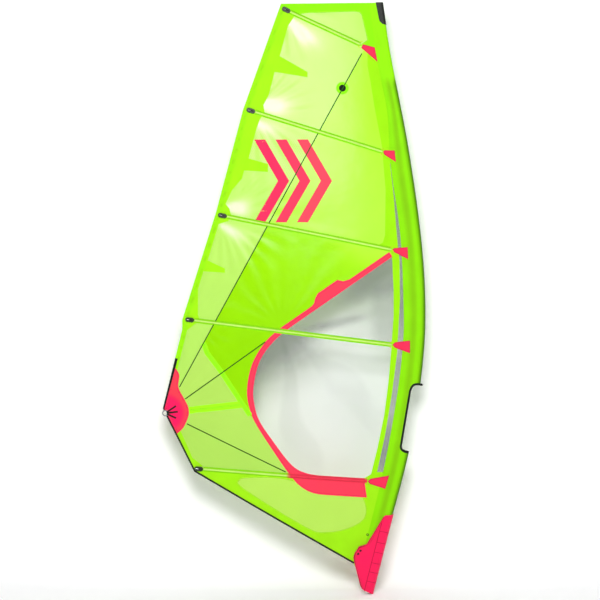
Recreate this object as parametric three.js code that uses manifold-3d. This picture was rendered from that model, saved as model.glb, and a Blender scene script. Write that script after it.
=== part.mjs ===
// Windsurf sail: film body with battens, tensioners, mast sleeve, clew ring and tack fairing.
// Millimetres. The sail stands upright in the XZ plane: +Z up the luff, +X towards the luff (mast side),
// -Y is the side the batten pockets are sewn on. Shapes are laid out from the foot of the luff; the
// finished sail is then moved so that the middle of the tack block's foot is the origin.
import * as THREE from 'three';
import { mergeVertices } from 'three/addons/utils/BufferGeometryUtils.js';
import Module from 'manifold-3d';

const wasm = await Module();
wasm.setup();

// ---- Driving dimensions ------------------------------------------------------------------------

const HEAD_Z = 4145;                 // top of the luff above the tack
const CLOTH = 1.0;                   // film and cloth thickness in the flat panels
const BINDING_CLOTH = 3.0;           // folded edge webbing
const SEAM_GAP = 0.5;                // clearance between neighbouring panels
const GRID = 150;                    // cell of the surface grid

const LUFF = [[0, 0], [500, 128], [990, 254], [1473, 336], [1900, 371], [2411, 350], [3111, 255],
  [3811, 122], [HEAD_Z, 72]];        // [z, x] of the leading edge
const SLEEVE_TAIL = [[300, -57], [857, 80], [1411, 180], [1802, 222], [2061, 222], [2509, 201],
  [3013, 133], [3386, 108], [3671, 52], [HEAD_Z, -18]];
const MAST_ROOM = [[0, 26], [1500, 25], [3000, 20], [HEAD_Z, 14]];     // sleeve nose radius by height
const CAMBER = [[-100, 14], [600, 50], [1300, 72], [2200, 60], [3200, 30], [HEAD_Z + 100, 8]];
const LEECH_TWIST = 40;              // how far the upper leech falls away

const SLEEVE_BOTTOM = 330;
const SLEEVE_WALL = 1.2;
const SLEEVE_ROWS = 22;
const SLEEVE_TAIL_HALF = 0.7;
const SLEEVE_TAIL_SEAM = 16;
const FAIRING_TOP = 561;
const FAIRING_NOSE = 31;
const FAIRING_PROUD = 5;             // reach of the fairing past the luff line
const FAIRING_WALL = 3.8;
const FAIRING_CLOSING = 1.7;         // slope at which its sides close on the film
const CUTOUT = [                     // boom opening, open past the luff
  [600, 1466], [349, 1466], [300, 1473], [271, 1453], [261, 1429], [196, 1032], [205, 1014],
  [228, 998], [262, 991], [600, 985],
];
const CAP = { wall: 2.4, gap: 0.4 };
const HEAD_CAP = [
  [22, 4200], [22, 4145], [43, 4035], [49, 4014], [71, 3994], [94, 3991], [200, 3991], [200, 4200],
];

const HEAD_CORNER = [-642, 4133];
const LEECH = [HEAD_CORNER, [-908, 3391], [-1097, 2677], [-1335, 1921], [-1335, 1855], [-1471, 1302]];
const CLEW = [-1454, 1267];
const FOOT = [[-1447, 1246], [-1250, 858], [-134, 214]];

// Each batten line runs from its tensioner, on the leech, to its cap on the sleeve.
const BATTENS = [
  { name: '1_top', from: [-606, 4089], to: [-82, 3849],
    cap: [[-80, 3828], [-68, 3853], [15, 3832], [34, 3730]] },
  { name: '2', from: [-853, 3386], to: [74, 3097],
    cap: [[73, 3100], [83, 3110], [154, 3108], [163, 3027], [80, 3079]] },
  { name: '3', from: [-1052, 2652], to: [136, 2412],
    cap: [[138, 2414], [148, 2424], [245, 2431], [248, 2346], [149, 2396]] },
  { name: '4', from: [-1281, 1922], to: [136, 1748],
    cap: [[137, 1747], [156, 1766], [261, 1777], [261, 1688], [153, 1728]] },
  { name: '5_foot', from: [-1218, 879], to: [-34, 795],
    cap: [[-36, 794], [-16, 811], [115, 832], [88, 738], [-20, 774]] },
];
const BATTEN_RADIUS = 4;
const BATTEN_STEPS = 10;
const POCKET = { half: 17, low: 1.2, wall: 1.1, rise: 13.2 };
const PATCH_CLOTH = 2.2;

const BINDING_WIDTH = 12;
const LEECH_BINDING_TOP = [-1378, 1652];
const RING = { outer: 23, inner: 14.5, thickness: 8 };
const STRAP = { width: 11, thickness: 2.4, ends: [[-1379, 1318], [-1366, 1278], [-1378, 1233]] };

// The tack block hangs under the film, behind the mast; the middle of its keeper is the origin.
const TACK_BLOCK = {
  x: -50, foot: 45, width: 36, half: 22, cheek: 3.5, keeper: 5, bridge: [82, 98], lugTop: 124,
  lug: [26, 12], lugSlot: 1.3, filmFoot: 112,
};
const ROLLER = { radius: 11, groove: 8.5, width: 11.4, pitch: 12.1, z: 66, bore: 3.3 };
const AXLE_RADIUS = 3;
const TACK_EDGE = [-82, -36];        // X of the film's two lowest corners, in the block's lug

// Batten tensioner. Lengths run along the batten from the middle of the housing; heights are above
// the film. The screw is held in the aft wall and drives the cup, which pushes the batten forward.
const HOUSING = { length: 62, width: 32, low: 1.2, high: 13.2, slot: [-20.5, 20.5], slotWidth: 12 };
const SCREW_LINE = 7.2;              // height of the screw and batten centre above the film
const SCREW = { tail: -30, tip: 4, radius: 3, collar: [-20, -16], collarRadius: 4.4, socket: 2.2 };
const CUP = { aft: -2, front: 20, width: 11.4, low: 2.7, high: 11.7, bore: 3.3, boreDepth: 19 };
const PUSH_ROD = { width: 7, height: 5 };
const PUSH_ROD_END = 33;
const HOUSING_ROUND = 2;

const SAIL_X = [-1557, 433];         // stretch of the surface grid that holds the whole body
const SAIL_Z = [-61, 4259];
const NOSE_STEPS = 8;

// ---- Numbers and curves ------------------------------------------------------------------------

/** Smooth value through a few [at, value] knots; straight on beyond either end. */
function through(knots) {
  const slopes = knots.map((_, i) => {
    const before = knots[Math.max(i - 1, 0)];
    const after = knots[Math.min(i + 1, knots.length - 1)];
    return (after[1] - before[1]) / (after[0] - before[0]);
  });
  return (at) => {
    const last = knots.length - 1;
    if (at <= knots[0][0]) return knots[0][1] + slopes[0] * (at - knots[0][0]);
    if (at >= knots[last][0]) return knots[last][1] + slopes[last] * (at - knots[last][0]);
    const i = knots.findIndex(([t]) => t > at) - 1;
    const span = knots[i + 1][0] - knots[i][0];
    const s = (at - knots[i][0]) / span;
    const rise = s * s * (3 - 2 * s);
    return knots[i][1] * (1 - rise) + knots[i + 1][1] * rise
      + span * (slopes[i] * s * (1 - s) ** 2 - slopes[i + 1] * s * s * (1 - s));
  };
}

const luffX = through(LUFF);
const sleeveTailX = through(SLEEVE_TAIL);
const noseRadius = through(MAST_ROOM);
const camberDepth = through(CAMBER);

/** Line of the leech above the clew, eased into an upright line below it, where the chord ends. */
function aftX(z) {
  const above = z - CLEW[1];
  return -1480 + 0.289 * (above + Math.hypot(above, 300)) / 2;
}

/** Y of the middle of the sail body. The cubic bow peaks at 39 % of the chord. */
function sailY(x, z) {
  const chord = Math.max(0, (luffX(z) - x) / (luffX(z) - aftX(z)));
  const bow = (1.5 * chord - 2.5 * chord ** 2 + chord ** 3) / 0.264;
  const height = Math.max(0, z / HEAD_Z);
  return -camberDepth(z) * bow - LEECH_TWIST * (height * chord) ** 2;
}

/** Half thickness of the mast sleeve: a round nose, then flat sides that meet at the tail seam. */
function sleeveHalf(x, z) {
  const radius = noseRadius(z);
  const back = luffX(z) - x;
  const width = luffX(z) - sleeveTailX(z);
  if (back <= 0 || back >= width) return 0;
  const tangent = Math.acos(radius / (width - radius));
  const tangentBack = radius + radius * Math.cos(tangent);
  if (back < tangentBack) return Math.sqrt(radius ** 2 - (radius - back) ** 2);
  return radius * Math.sin(tangent) * (width - back) / (width - tangentBack);
}

function circle([x, z], radius, steps = 24) {
  return Array.from({ length: steps }, (_, i) => {
    const angle = 2 * Math.PI * i / steps;
    return [x + radius * Math.cos(angle), z + radius * Math.sin(angle)];
  });
}

/** Points on a smooth line through the given points. */
function smooth(points, steps = 4) {
  const curve = new THREE.SplineCurve(points.map(([x, z]) => new THREE.Vector2(x, z)));
  return curve.getPoints(steps * (points.length - 1)).map((p) => [p.x, p.y]);
}

/** Points up a [z -> x] curve. */
function upCurve(curve, from, to, steps) {
  return Array.from({ length: steps + 1 }, (_, i) => {
    const z = from + (to - from) * i / steps;
    return [curve(z), z];
  });
}

function signedArea(outline) {
  return outline.reduce((sum, [x, z], i) => {
    const [nextX, nextZ] = outline[(i + 1) % outline.length];
    return sum + (x * nextZ - nextX * z) / 2;
  }, 0);
}

/** Outline moved outwards by a distance, or inwards when the distance is negative. */
function grow(outline, distance) {
  const side = Math.sign(signedArea(outline)) * distance;
  const edgeNormal = ([ax, az], [bx, bz]) => {
    const length = Math.hypot(bx - ax, bz - az);
    return [(bz - az) / length, -(bx - ax) / length];
  };
  return outline.map((point, i) => {
    const before = edgeNormal(outline.at(i - 1), point);
    const after = edgeNormal(point, outline[(i + 1) % outline.length]);
    const scale = side / Math.max(0.3, 1 + before[0] * after[0] + before[1] * after[1]);
    return [point[0] + (before[0] + after[0]) * scale, point[1] + (before[1] + after[1]) * scale];
  });
}

/** Closed band of the given width centred on a line. */
function ribbon(line, width) {
  const sides = [1, -1].map((side) => line.map(([x, z], i) => {
    const [ax, az] = line[Math.max(i - 1, 0)];
    const [bx, bz] = line[Math.min(i + 1, line.length - 1)];
    const length = Math.hypot(bx - ax, bz - az);
    return [x + side * width / 2 * (bz - az) / length, z - side * width / 2 * (bx - ax) / length];
  }));
  return [...sides[0], ...sides[1].reverse()];
}

// ---- Solids ------------------------------------------------------------------------------------

function toSolid(geometry) {
  const bare = geometry.clone();
  bare.deleteAttribute('normal');
  bare.deleteAttribute('uv');
  const merged = mergeVertices(bare, 1e-4);
  return new wasm.Manifold(new wasm.Mesh({
    numProp: 3,
    vertProperties: merged.attributes.position.array,
    triVerts: new Uint32Array(merged.index.array),
  }));
}

function toGeometry(solid) {
  const mesh = solid.getMesh();
  const geometry = new THREE.BufferGeometry();
  geometry.setAttribute('position', new THREE.BufferAttribute(mesh.vertProperties, 3));
  geometry.setIndex(new THREE.BufferAttribute(mesh.triVerts, 1));
  geometry.computeVertexNormals();
  return geometry;
}

/** Prism that stands through the sail: an XZ outline carried from one Y to another. */
function prism(outline, yNear = -250, yFar = 150) {
  const shape = new THREE.Shape(outline.map(([x, z]) => new THREE.Vector2(x, z)));
  const geometry = new THREE.ExtrudeGeometry(shape, { depth: yFar - yNear, bevelEnabled: false });
  geometry.rotateX(Math.PI / 2);
  geometry.translate(0, yFar, 0);
  return toSolid(geometry);
}

/** Solid between loops of points: ring after ring, closed over itself by the two end caps. */
function loft(rings) {
  const count = rings[0].length;
  const positions = rings.flat().flatMap((p) => [p.x, p.y, p.z]);
  const index = [];
  for (let r = 0; r < rings.length - 1; r += 1) {
    for (let i = 0; i < count; i += 1) {
      const a = r * count + i;
      const b = r * count + (i + 1) % count;
      index.push(a, b, b + count, a, b + count, a + count);
    }
  }
  const capPlane = rings[0].map((_, i) => flatten(rings[0], i));
  const cap = THREE.ShapeUtils.triangulateShape(capPlane, []);
  const top = (rings.length - 1) * count;
  for (const [a, b, c] of cap) {
    index.push(a, c, b);
    index.push(top + a, top + b, top + c);
  }
  return outwards(positions, index);
}

/** A ring's point in the plane of that ring. */
function flatten(ring, i) {
  const across = ring[1].clone().sub(ring[0]).normalize();
  const normal = new THREE.Vector3();
  ring.forEach((p, k) => normal.add(new THREE.Vector3().crossVectors(p, ring[(k + 1) % ring.length])));
  const up = normal.normalize().cross(across);
  return new THREE.Vector2(ring[i].dot(across), ring[i].dot(up));
}

/** Indexed geometry with its faces turned to point out. */
function outwards(positions, index) {
  let volume = 0;
  const at = (k) => new THREE.Vector3().fromArray(positions, 3 * k);
  for (let t = 0; t < index.length; t += 3) {
    volume += at(index[t]).dot(at(index[t + 1]).cross(at(index[t + 2])));
  }
  if (volume < 0) {
    for (let t = 0; t < index.length; t += 3) [index[t], index[t + 1]] = [index[t + 1], index[t]];
  }
  const geometry = new THREE.BufferGeometry();
  geometry.setAttribute('position', new THREE.Float32BufferAttribute(positions, 3));
  geometry.setIndex(index);
  geometry.computeVertexNormals();
  return geometry;
}

/** Slab over a patch of the sail, between two surfaces y(x, z). */
function slab(near, far, [left, right] = SAIL_X, [low, high] = SAIL_Z, cell = GRID) {
  const columns = Math.ceil((right - left) / cell);
  const rows = Math.ceil((high - low) / cell);
  const positions = [];
  for (const surface of [near, far]) {
    for (let r = 0; r <= rows; r += 1) {
      for (let c = 0; c <= columns; c += 1) {
        const x = left + (right - left) * c / columns;
        const z = low + (high - low) * r / rows;
        positions.push(x, surface(x, z), z);
      }
    }
  }
  const across = columns + 1;
  const layer = across * (rows + 1);
  const index = [];
  const quad = (a, b, c, d) => index.push(a, b, c, a, c, d);
  for (let r = 0; r < rows; r += 1) {
    for (let c = 0; c < columns; c += 1) {
      const a = r * across + c;
      quad(a, a + 1, a + 1 + across, a + across);
      quad(layer + a, layer + a + across, layer + a + 1 + across, layer + a + 1);
    }
  }
  for (let c = 0; c < columns; c += 1) {
    const top = rows * across + c;
    quad(c + 1, c, layer + c, layer + c + 1);
    quad(top, top + 1, layer + top + 1, layer + top);
  }
  for (let r = 0; r < rows; r += 1) {
    const a = r * across;
    const b = a + columns;
    quad(a, a + across, layer + a + across, layer + a);
    quad(b + across, b, layer + b, layer + b + across);
  }
  return toSolid(outwards(positions, index));
}

/** Surface at a fixed distance in front of another: positive is towards the batten side, -Y. */
const inFront = (surface, distance) => (x, z) => surface(x, z) - distance;
const sleeveFront = (x, z) => sailY(x, z) - sleeveHalf(x, z);

/** Closed loop across the luff at one height: round nose of the given radius, then both sides aft. */
function luffLoop(z, radius, backs, half, nose = luffX(z)) {
  const centre = nose - radius;
  const point = (x, y) => new THREE.Vector3(x, y + sailY(x, z), z);
  const arc = Array.from({ length: NOSE_STEPS + 1 }, (_, i) => {
    const angle = -Math.PI / 2 + Math.PI * i / NOSE_STEPS;
    return point(centre + radius * Math.cos(angle), radius * Math.sin(angle));
  });
  const side = backs.map((x) => [x, Math.min(radius, half(x, z))]);
  const starboard = side.map(([x, y]) => point(x, y));
  const port = side.map(([x, y]) => point(x, -y)).reverse();
  return [...arc, ...starboard, ...port];
}

// ---- The built model ---------------------------------------------------------------------------

const sail = new THREE.Group();

/** Adds one named piece. */
function add(name, shape, { colour, roughness = 0.5, metalness = 0 }, parent = sail) {
  const geometry = shape.isBufferGeometry ? shape : toGeometry(shape);
  const mesh = new THREE.Mesh(geometry, new THREE.MeshStandardMaterial({
    color: colour, roughness, metalness,
  }));
  mesh.name = name;
  parent.add(mesh);
  return mesh;
}

const LIME_DACRON = { colour: '#9afc05', roughness: 0.55 };
const LIME_SCRIM = { colour: '#c5f268', roughness: 0.35 };
const LIME_FILM = { colour: '#b0ea2c', roughness: 0.3 };
const CLEAR_FILM = { colour: '#e4e8e8', roughness: 0.12 };
const PINK_CLOTH = { colour: '#ff3d62', roughness: 0.5 };
const PINK_NEOPRENE = { colour: '#fd1a5b', roughness: 0.6 };
const BLACK_WEBBING = { colour: '#101210', roughness: 0.8 };
const BLACK_NYLON = { colour: '#1b1f1b', roughness: 0.45 };
const CARBON = { colour: '#26282a', roughness: 0.35 };
const STEEL = { colour: '#c4c8ca', roughness: 0.25, metalness: 1 };

// ---- Body panels -------------------------------------------------------------------------------
// The body is one curved sheet shared out between its panels. Each panel takes its outline from what
// the panels before it left, so an outline may run on under them or out past the edge of the sail.

const tail = upCurve(sleeveTailX, SLEEVE_BOTTOM, HEAD_Z, SLEEVE_ROWS);
const SAIL = [
  ...tail, ...LEECH, ...FOOT,
  [TACK_EDGE[0], TACK_BLOCK.filmFoot], [TACK_EDGE[1], TACK_BLOCK.filmFoot],
];
const BAND_OUTER = [
  [134, 2372], [114, 2396], [-164, 2205], [-208, 2192], [-248, 2202], [-385, 2108], [-402, 2078],
  [-412, 2038], [-428, 2017],
  ...smooth([[-643, 1868], [-752, 1768], [-845, 1611], [-880, 1430], [-858, 1290], [-802, 1169],
    [-638, 920]]),
  ...smooth([[-589, 851], [-526, 776], [-456, 727], [-380, 704], [-290, 696]], 2), [-41, 678],
];
const BAND_INNER = [
  [134, 2362],
  ...smooth([[-560, 1882], [-690, 1775], [-790, 1635], [-834, 1455], [-828, 1333], [-789, 1210],
    [-673, 1042], [-596, 941], [-533, 882], [-456, 850], [-383, 837]]), [-60, 815],
];
const STRIP_INNER = [
  [-12, 843], [34, 1032], [81, 1263], [110, 1494], [127, 1691], [145, 1956], [145, 2131], [130, 2365],
  [126, 2405], [16, 2432], [70, 2462], [86, 2516], [90, 2831], [65, 3139], [11, 3422], [-17, 3601],
  [-36, 3700], [-36, 3828],
];
const SLIT_INNER = [
  [30, 857], [86, 1115], [135, 1410], [170, 1683], [191, 2061], [188, 2331], [170, 2505],
  [148, 2780], [122, 3013], [128, 3030],
];
const HEAD_SCRIM = [
  [-540, 4059], [-455, 4070], [-125, 4082], [-92, 4076], [-78, 4060], [-36, 3884], [-82, 3849],
];
const LEECH_INNER = [
  [-540, 4059], [-593, 3979], [-651, 3768], [-456, 3657], [-456, 3620], [-687, 3657], [-726, 3500],
  [-765, 3425], [-757, 3375], [-790, 3325], [-818, 3246], [-869, 3052], [-733, 3013], [-733, 2957],
  [-900, 2968], [-915, 2911], [-985, 2831], [-1030, 2735], [-1003, 2700], [-992, 2655],
  [-1010, 2615], [-1079, 2593], [-1156, 2338], [-1035, 2282], [-1035, 2251], [-1186, 2262],
  [-1224, 2136], [-1224, 1960], [-1215, 1925], [-1240, 1895], [-1300, 1850], [-1372, 1560],
];
const CLEW_PATCH = smooth([
  [-1386, 1588], [-1355, 1535], [-1361, 1450], [-1320, 1368], [-1292, 1310], [-1290, 1250],
  [-1325, 1168], [-1368, 1125],
]);
const FOOT_SCRIM = smooth([
  [-930, 800], [-890, 816], [-640, 814], [-300, 735], [-130, 740], [-56, 640], [-62, 530],
  [-180, 462], [-328, 438], [-465, 472], [-905, 745], [-930, 800],
], 3).slice(1);
const TAPE_LINE = [[-1185, 1760], [-1160, 1690], [-1069, 1571], [-929, 1361], [-858, 1255]];
const SEAM_LEECH = [-76, 3788];
const SEAM_UPPER = [-752, 1768];
const SEAM_LOWER = [-554, 834];
const [TOP_BATTEN, , MIDDLE_BATTEN, , FOOT_BATTEN] = BATTENS;

let remaining = slab(inFront(sailY, CLOTH / 2), inFront(sailY, -CLOTH / 2))
  .intersect(prism(grow(SAIL, -SEAM_GAP / 2)))
  .subtract(prism(circle(CLEW, RING.outer + SEAM_GAP)));

/** Takes one panel out of what remains of the body sheet. */
function panel(name, outline, finish) {
  add(name, remaining.intersect(prism(grow(outline, -SEAM_GAP / 2))), finish);
  remaining = remaining.subtract(prism(grow(outline, SEAM_GAP / 2)));
}

/** Folded webbing along a stretch of the edge, thicker than the film that it closes. */
function binding(name, line) {
  const cloth = slab(inFront(sailY, BINDING_CLOTH / 2), inFront(sailY, -BINDING_CLOTH / 2));
  const edge = prism(grow(SAIL, -SEAM_GAP / 2)).subtract(prism(circle(CLEW, RING.outer + SEAM_GAP)));
  add(name, cloth.intersect(edge).intersect(prism(ribbon(line, 2 * BINDING_WIDTH))), BLACK_WEBBING);
  remaining = remaining.subtract(prism(ribbon(line, 2 * (BINDING_WIDTH + SEAM_GAP))));
}

binding('leech_binding', [LEECH_BINDING_TOP, LEECH.at(-1), [-1466, 1270]]);
binding('foot_binding', FOOT);
panel('clew_patch', [...CLEW_PATCH, [-1600, 1100], [-1600, 1588]], PINK_CLOTH);
panel('window_band', [...BAND_OUTER, ...BAND_INNER.slice().reverse()], PINK_CLOTH);
panel('window_film', [...BAND_INNER, ...STRIP_INNER.slice(0, 7)], CLEAR_FILM);
panel('luff_slit_film', [...SLIT_INNER, [300, 3030], [300, 857]], CLEAR_FILM);
panel('luff_reinforcement', [...STRIP_INNER, [200, 3720], [300, 3000], [300, 1000],
  [70, 788], [-70, 797.6], [-70, 826]], LIME_DACRON);
panel('head_panel', HEAD_SCRIM, LIME_SCRIM);
panel('leech_reinforcement', [...LEECH_INNER, [-1520, 1500], [-1500, 1900], [-900, 4090],
  [-700, 4132]], LIME_DACRON);
panel('foot_panel', FOOT_SCRIM, LIME_SCRIM);
panel('foot_reinforcement', [[-1372, 1200], [-1345, 1142], [-1261, 955], [-1190, 900], FOOT_BATTEN.from,
  FOOT_BATTEN.to, [200, 779], [200, -20], [-1600, -20], [-1600, 1200]], LIME_DACRON);
panel('head_reinforcement', [[-800, 4178], TOP_BATTEN.to, [200, 3720], [200, 4300], [-900, 4300]],
  LIME_DACRON);
panel('leech_panel', [CLEW, SEAM_LEECH, [-10, 3908], [-900, 4300], [-1700, 1600]], LIME_SCRIM);
panel('body_panel_upper', [SEAM_LEECH, [-120, 4000], [300, 3700], [300, 2384], MIDDLE_BATTEN.to,
  MIDDLE_BATTEN.from, [-1200, 2677]], LIME_FILM);
panel('body_panel_lower', [[-1300, 2700], [300, 2500], [300, 1700], [-400, 1700], [-840, 1240],
  ...TAPE_LINE.slice().reverse(), [-1300, 1760]], LIME_FILM);
panel('clew_panel_upper', [CLEW, [-1000, 2200], [-600, 1875], SEAM_UPPER], LIME_SCRIM);
panel('clew_panel_middle', [CLEW, SEAM_UPPER, [-500, 1300], SEAM_LOWER], LIME_SCRIM);
panel('clew_panel_lower', [CLEW, SEAM_LOWER, [-500, 700], [-1500, 700]], LIME_SCRIM);

// ---- Mast sleeve and what is sewn round the luff -----------------------------------------------

/** Solid bounded by luff loops whose sides follow a half-thickness, aft to a given X. */
function luffTube({ heights, radius, half, backs, nose }) {
  return loft(heights.map((z) => luffLoop(z, radius(z), backs(z), half, nose?.(z))));
}

const levels = (low, high, count) => Array.from({ length: count + 1 },
  (_, i) => low + (high - low) * i / count);
const between = (from, to, parts) => levels(0, 1, parts).map((t) => from + (to - from) * t);

/** The sleeve's skin with its hollow taken out; the tail seam stays solid. */
function sleeveTube() {
  const backs = (inset) => (z) => {
    const front = luffX(z) - noseRadius(z) - 2;
    return between(front, sleeveTailX(z) + inset, 3);
  };
  const skin = luffTube({
    heights: levels(SLEEVE_BOTTOM, HEAD_Z, SLEEVE_ROWS),
    radius: noseRadius,
    half: (x, z) => Math.max(SLEEVE_TAIL_HALF, sleeveHalf(x, z)),
    backs: backs(SEAM_GAP / 2),
  });
  const hollow = luffTube({
    heights: [SLEEVE_BOTTOM - 5, ...levels(SLEEVE_BOTTOM, HEAD_Z, SLEEVE_ROWS).slice(1, -1), HEAD_Z - 3],
    radius: (z) => noseRadius(z) - SLEEVE_WALL,
    half: (x, z) => Math.max(0.1, sleeveHalf(x, z) - SLEEVE_WALL),
    backs: backs(SLEEVE_TAIL_SEAM),
    nose: (z) => luffX(z) - SLEEVE_WALL,
  });
  return toSolid(skin).subtract(toSolid(hollow));
}

const sleeve = sleeveTube();
const cutoutEdge = prism(grow(CUTOUT, BINDING_WIDTH / 2));
add('mast_sleeve', sleeve.subtract(prism(grow(CUTOUT, BINDING_WIDTH / 2 + SEAM_GAP))), LIME_DACRON);
add('cutout_binding', sleeve.intersect(cutoutEdge).subtract(prism(grow(CUTOUT, -BINDING_WIDTH / 2))),
  BLACK_WEBBING);

/** Moulded cap over the nose of the sleeve at the head. */
function headCap() {
  const around = (clearance, top) => toSolid(luffTube({
    heights: [3960, 4040, top],
    radius: (z) => noseRadius(z) + clearance,
    half: (x, z) => sleeveHalf(x, z) + clearance,
    backs: (z) => between(luffX(z) - noseRadius(z), sleeveTailX(z) + 8, 2),
    nose: (z) => luffX(z) + clearance,
  }));
  return around(CAP.wall + CAP.gap, HEAD_Z + CAP.wall + CAP.gap)
    .subtract(around(CAP.gap, HEAD_Z + CAP.gap))
    .intersect(prism(HEAD_CAP));
}
add('head_cap', headCap(), BLACK_NYLON);

/** Leather cap over the front end of a batten, sewn to the side of the sleeve. */
function battenCap(outline) {
  const xs = outline.map(([x]) => x);
  const zs = outline.map(([, z]) => z);
  const cloth = slab(inFront(sleeveFront, 1 + PATCH_CLOTH), inFront(sleeveFront, 1),
    [Math.min(...xs) - 5, Math.max(...xs) + 5], [Math.min(...zs) - 5, Math.max(...zs) + 5], 22);
  return cloth.intersect(prism(outline));
}

// ---- Battens and their pockets -----------------------------------------------------------------

/** Bar swept along a batten line, with a section given as [across, out] points. */
function alongBatten({ from, to }, start, stop, section, steps) {
  const length = Math.hypot(to[0] - from[0], to[1] - from[1]);
  const dx = (to[0] - from[0]) / length;
  const dz = (to[1] - from[1]) / length;
  return loft(between(start, length - stop, steps).map((s) => section.map(([across, out]) => {
    const x = from[0] + dx * s - dz * across;
    const z = from[1] + dz * s + dx * across;
    return new THREE.Vector3(x, sailY(x, z) - out, z);
  })));
}

const rod = circle([0, SCREW_LINE], BATTEN_RADIUS, 8);
const { half: pocketHalf, rise: pocketRise, wall: pocketWall, low: pocketLow } = POCKET;
const POCKET_OUTSIDE = [[pocketHalf, pocketLow + pocketWall], [8.6, 2.8], [5, pocketRise - 1.6]];
const POCKET_INSIDE = [[4.2, pocketRise - pocketWall - 1.3], [7.2, pocketLow]];
const mirrored = (points) => points.map(([across, out]) => [-across, out]).reverse();
const POCKET_SECTION = [
  [pocketHalf, pocketLow], ...POCKET_OUTSIDE, [0, pocketRise], ...mirrored(POCKET_OUTSIDE),
  [-pocketHalf, pocketLow], ...mirrored(POCKET_INSIDE), [0, pocketRise - pocketWall], ...POCKET_INSIDE,
];
BATTENS.forEach(({ name, from, to, cap }) => {
  const line = { from, to };
  add(`batten_${name}`, alongBatten(line, PUSH_ROD_END + 0.6, 24, rod, BATTEN_STEPS), CARBON);
  add(`batten_pocket_${name}`, alongBatten(line, HOUSING.length / 2 + 2, 6, POCKET_SECTION, BATTEN_STEPS),
    LIME_DACRON);
  add(`batten_cap_${name}`, battenCap(cap), PINK_CLOTH);
});

// ---- Batten tensioners -------------------------------------------------------------------------

/** Box between two corners. */
function box([x0, y0, z0], [x1, y1, z1]) {
  const geometry = new THREE.BoxGeometry(x1 - x0, y1 - y0, z1 - z0);
  geometry.translate((x0 + x1) / 2, (y0 + y1) / 2, (z0 + z1) / 2);
  return toSolid(geometry);
}

/** Solid of revolution about X, at a given height, from [x, radius] points that start and end on it. */
function turned(profile, sides = 10, height = 0) {
  const geometry = new THREE.LatheGeometry(profile.map(([x, r]) => new THREE.Vector2(r, x)), sides);
  geometry.rotateZ(-Math.PI / 2);
  geometry.translate(0, 0, height);
  return toSolid(geometry);
}

/** Capsule block with a slot over the screw, a key hole aft and a push-rod window forward. */
function housing() {
  const reach = HOUSING.length / 2;
  const radius = HOUSING.width / 2;
  const shape = new THREE.Shape();
  shape.absarc(reach - radius, 0, radius, -Math.PI / 2, Math.PI / 2);
  shape.absarc(radius - reach, 0, radius, Math.PI / 2, 3 * Math.PI / 2);
  const geometry = new THREE.ExtrudeGeometry(shape, {
    depth: HOUSING.high - HOUSING.low - 2 * HOUSING_ROUND, bevelThickness: HOUSING_ROUND,
    bevelSize: HOUSING_ROUND, bevelOffset: -HOUSING_ROUND, bevelSegments: 1, curveSegments: 6,
  });
  geometry.translate(0, 0, HOUSING.low + HOUSING_ROUND);
  const slot = box([HOUSING.slot[0], -HOUSING.slotWidth / 2, CUP.low - 0.4],
    [HOUSING.slot[1], HOUSING.slotWidth / 2, HOUSING.high + 1]);
  const keyRadius = SCREW.radius + 0.3;
  const keyHole = turned([[-40, 0], [-40, keyRadius], [0, keyRadius], [0, 0]], 10, SCREW_LINE);
  const window = box([0, -PUSH_ROD.width / 2 - 0.4, SCREW_LINE - PUSH_ROD.height / 2 - 0.4],
    [40, PUSH_ROD.width / 2 + 0.4, SCREW_LINE + PUSH_ROD.height / 2 + 0.4]);
  return toSolid(geometry).subtract(slot).subtract(keyHole).subtract(window);
}

/** Screw with the collar that holds it in the housing and a socket for the key. */
function screw() {
  const { tail: aft, tip, radius, collar, collarRadius, socket } = SCREW;
  const bar = turned([[aft, 0], [aft, radius], [collar[0], radius], [collar[0], collarRadius],
    [collar[1], collarRadius], [collar[1], radius], [tip - 1, radius], [tip, radius - 1], [tip, 0]]);
  return bar.subtract(turned([[aft - 1, 0], [aft - 1, socket], [aft + 4, socket], [aft + 4, 0]], 6));
}

/** Cup that runs along the screw, with the push rod that bears on the batten. */
function cup() {
  const block = box([CUP.aft, -CUP.width / 2, CUP.low - SCREW_LINE],
    [CUP.front, CUP.width / 2, CUP.high - SCREW_LINE]);
  const rodBlock = box([CUP.front - 1, -PUSH_ROD.width / 2, -PUSH_ROD.height / 2],
    [PUSH_ROD_END, PUSH_ROD.width / 2, PUSH_ROD.height / 2]);
  const bore = turned([[CUP.aft - 1, 0], [CUP.aft - 1, CUP.bore], [CUP.aft + CUP.boreDepth, CUP.bore],
    [CUP.aft + CUP.boreDepth, 0]]);
  return block.add(rodBlock).subtract(bore);
}

/** Group whose X runs forward along a batten and whose Z stands out from the film, on the -Y side. */
function tensionerFrame({ from: [x, z], to }) {
  const run = new THREE.Vector2(to[0] - x, to[1] - z).normalize().multiplyScalar(30);
  const on = (px, pz) => new THREE.Vector3(px, sailY(px, pz), pz);
  const along = on(x + run.x, z + run.y).sub(on(x - run.x, z - run.y)).normalize();
  const up = on(x - run.y, z + run.x).sub(on(x + run.y, z - run.x)).normalize();
  const out = along.clone().cross(up);
  if (out.y > 0) out.negate();
  const across = out.clone().cross(along);
  const frame = new THREE.Group();
  frame.position.copy(on(x, z));
  frame.setRotationFromMatrix(new THREE.Matrix4().makeBasis(along, across, out));
  return frame;
}

BATTENS.forEach((batten) => {
  const frame = tensionerFrame(batten);
  sail.add(frame);
  add(`tensioner_housing_${batten.name}`, housing(), BLACK_NYLON, frame);
  const onAxis = new THREE.Group();
  onAxis.position.z = SCREW_LINE;
  frame.add(onAxis);
  add(`tensioner_screw_${batten.name}`, screw(), STEEL, onAxis);
  add(`tensioner_cup_${batten.name}`, cup(), BLACK_NYLON, onAxis);
});

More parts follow.
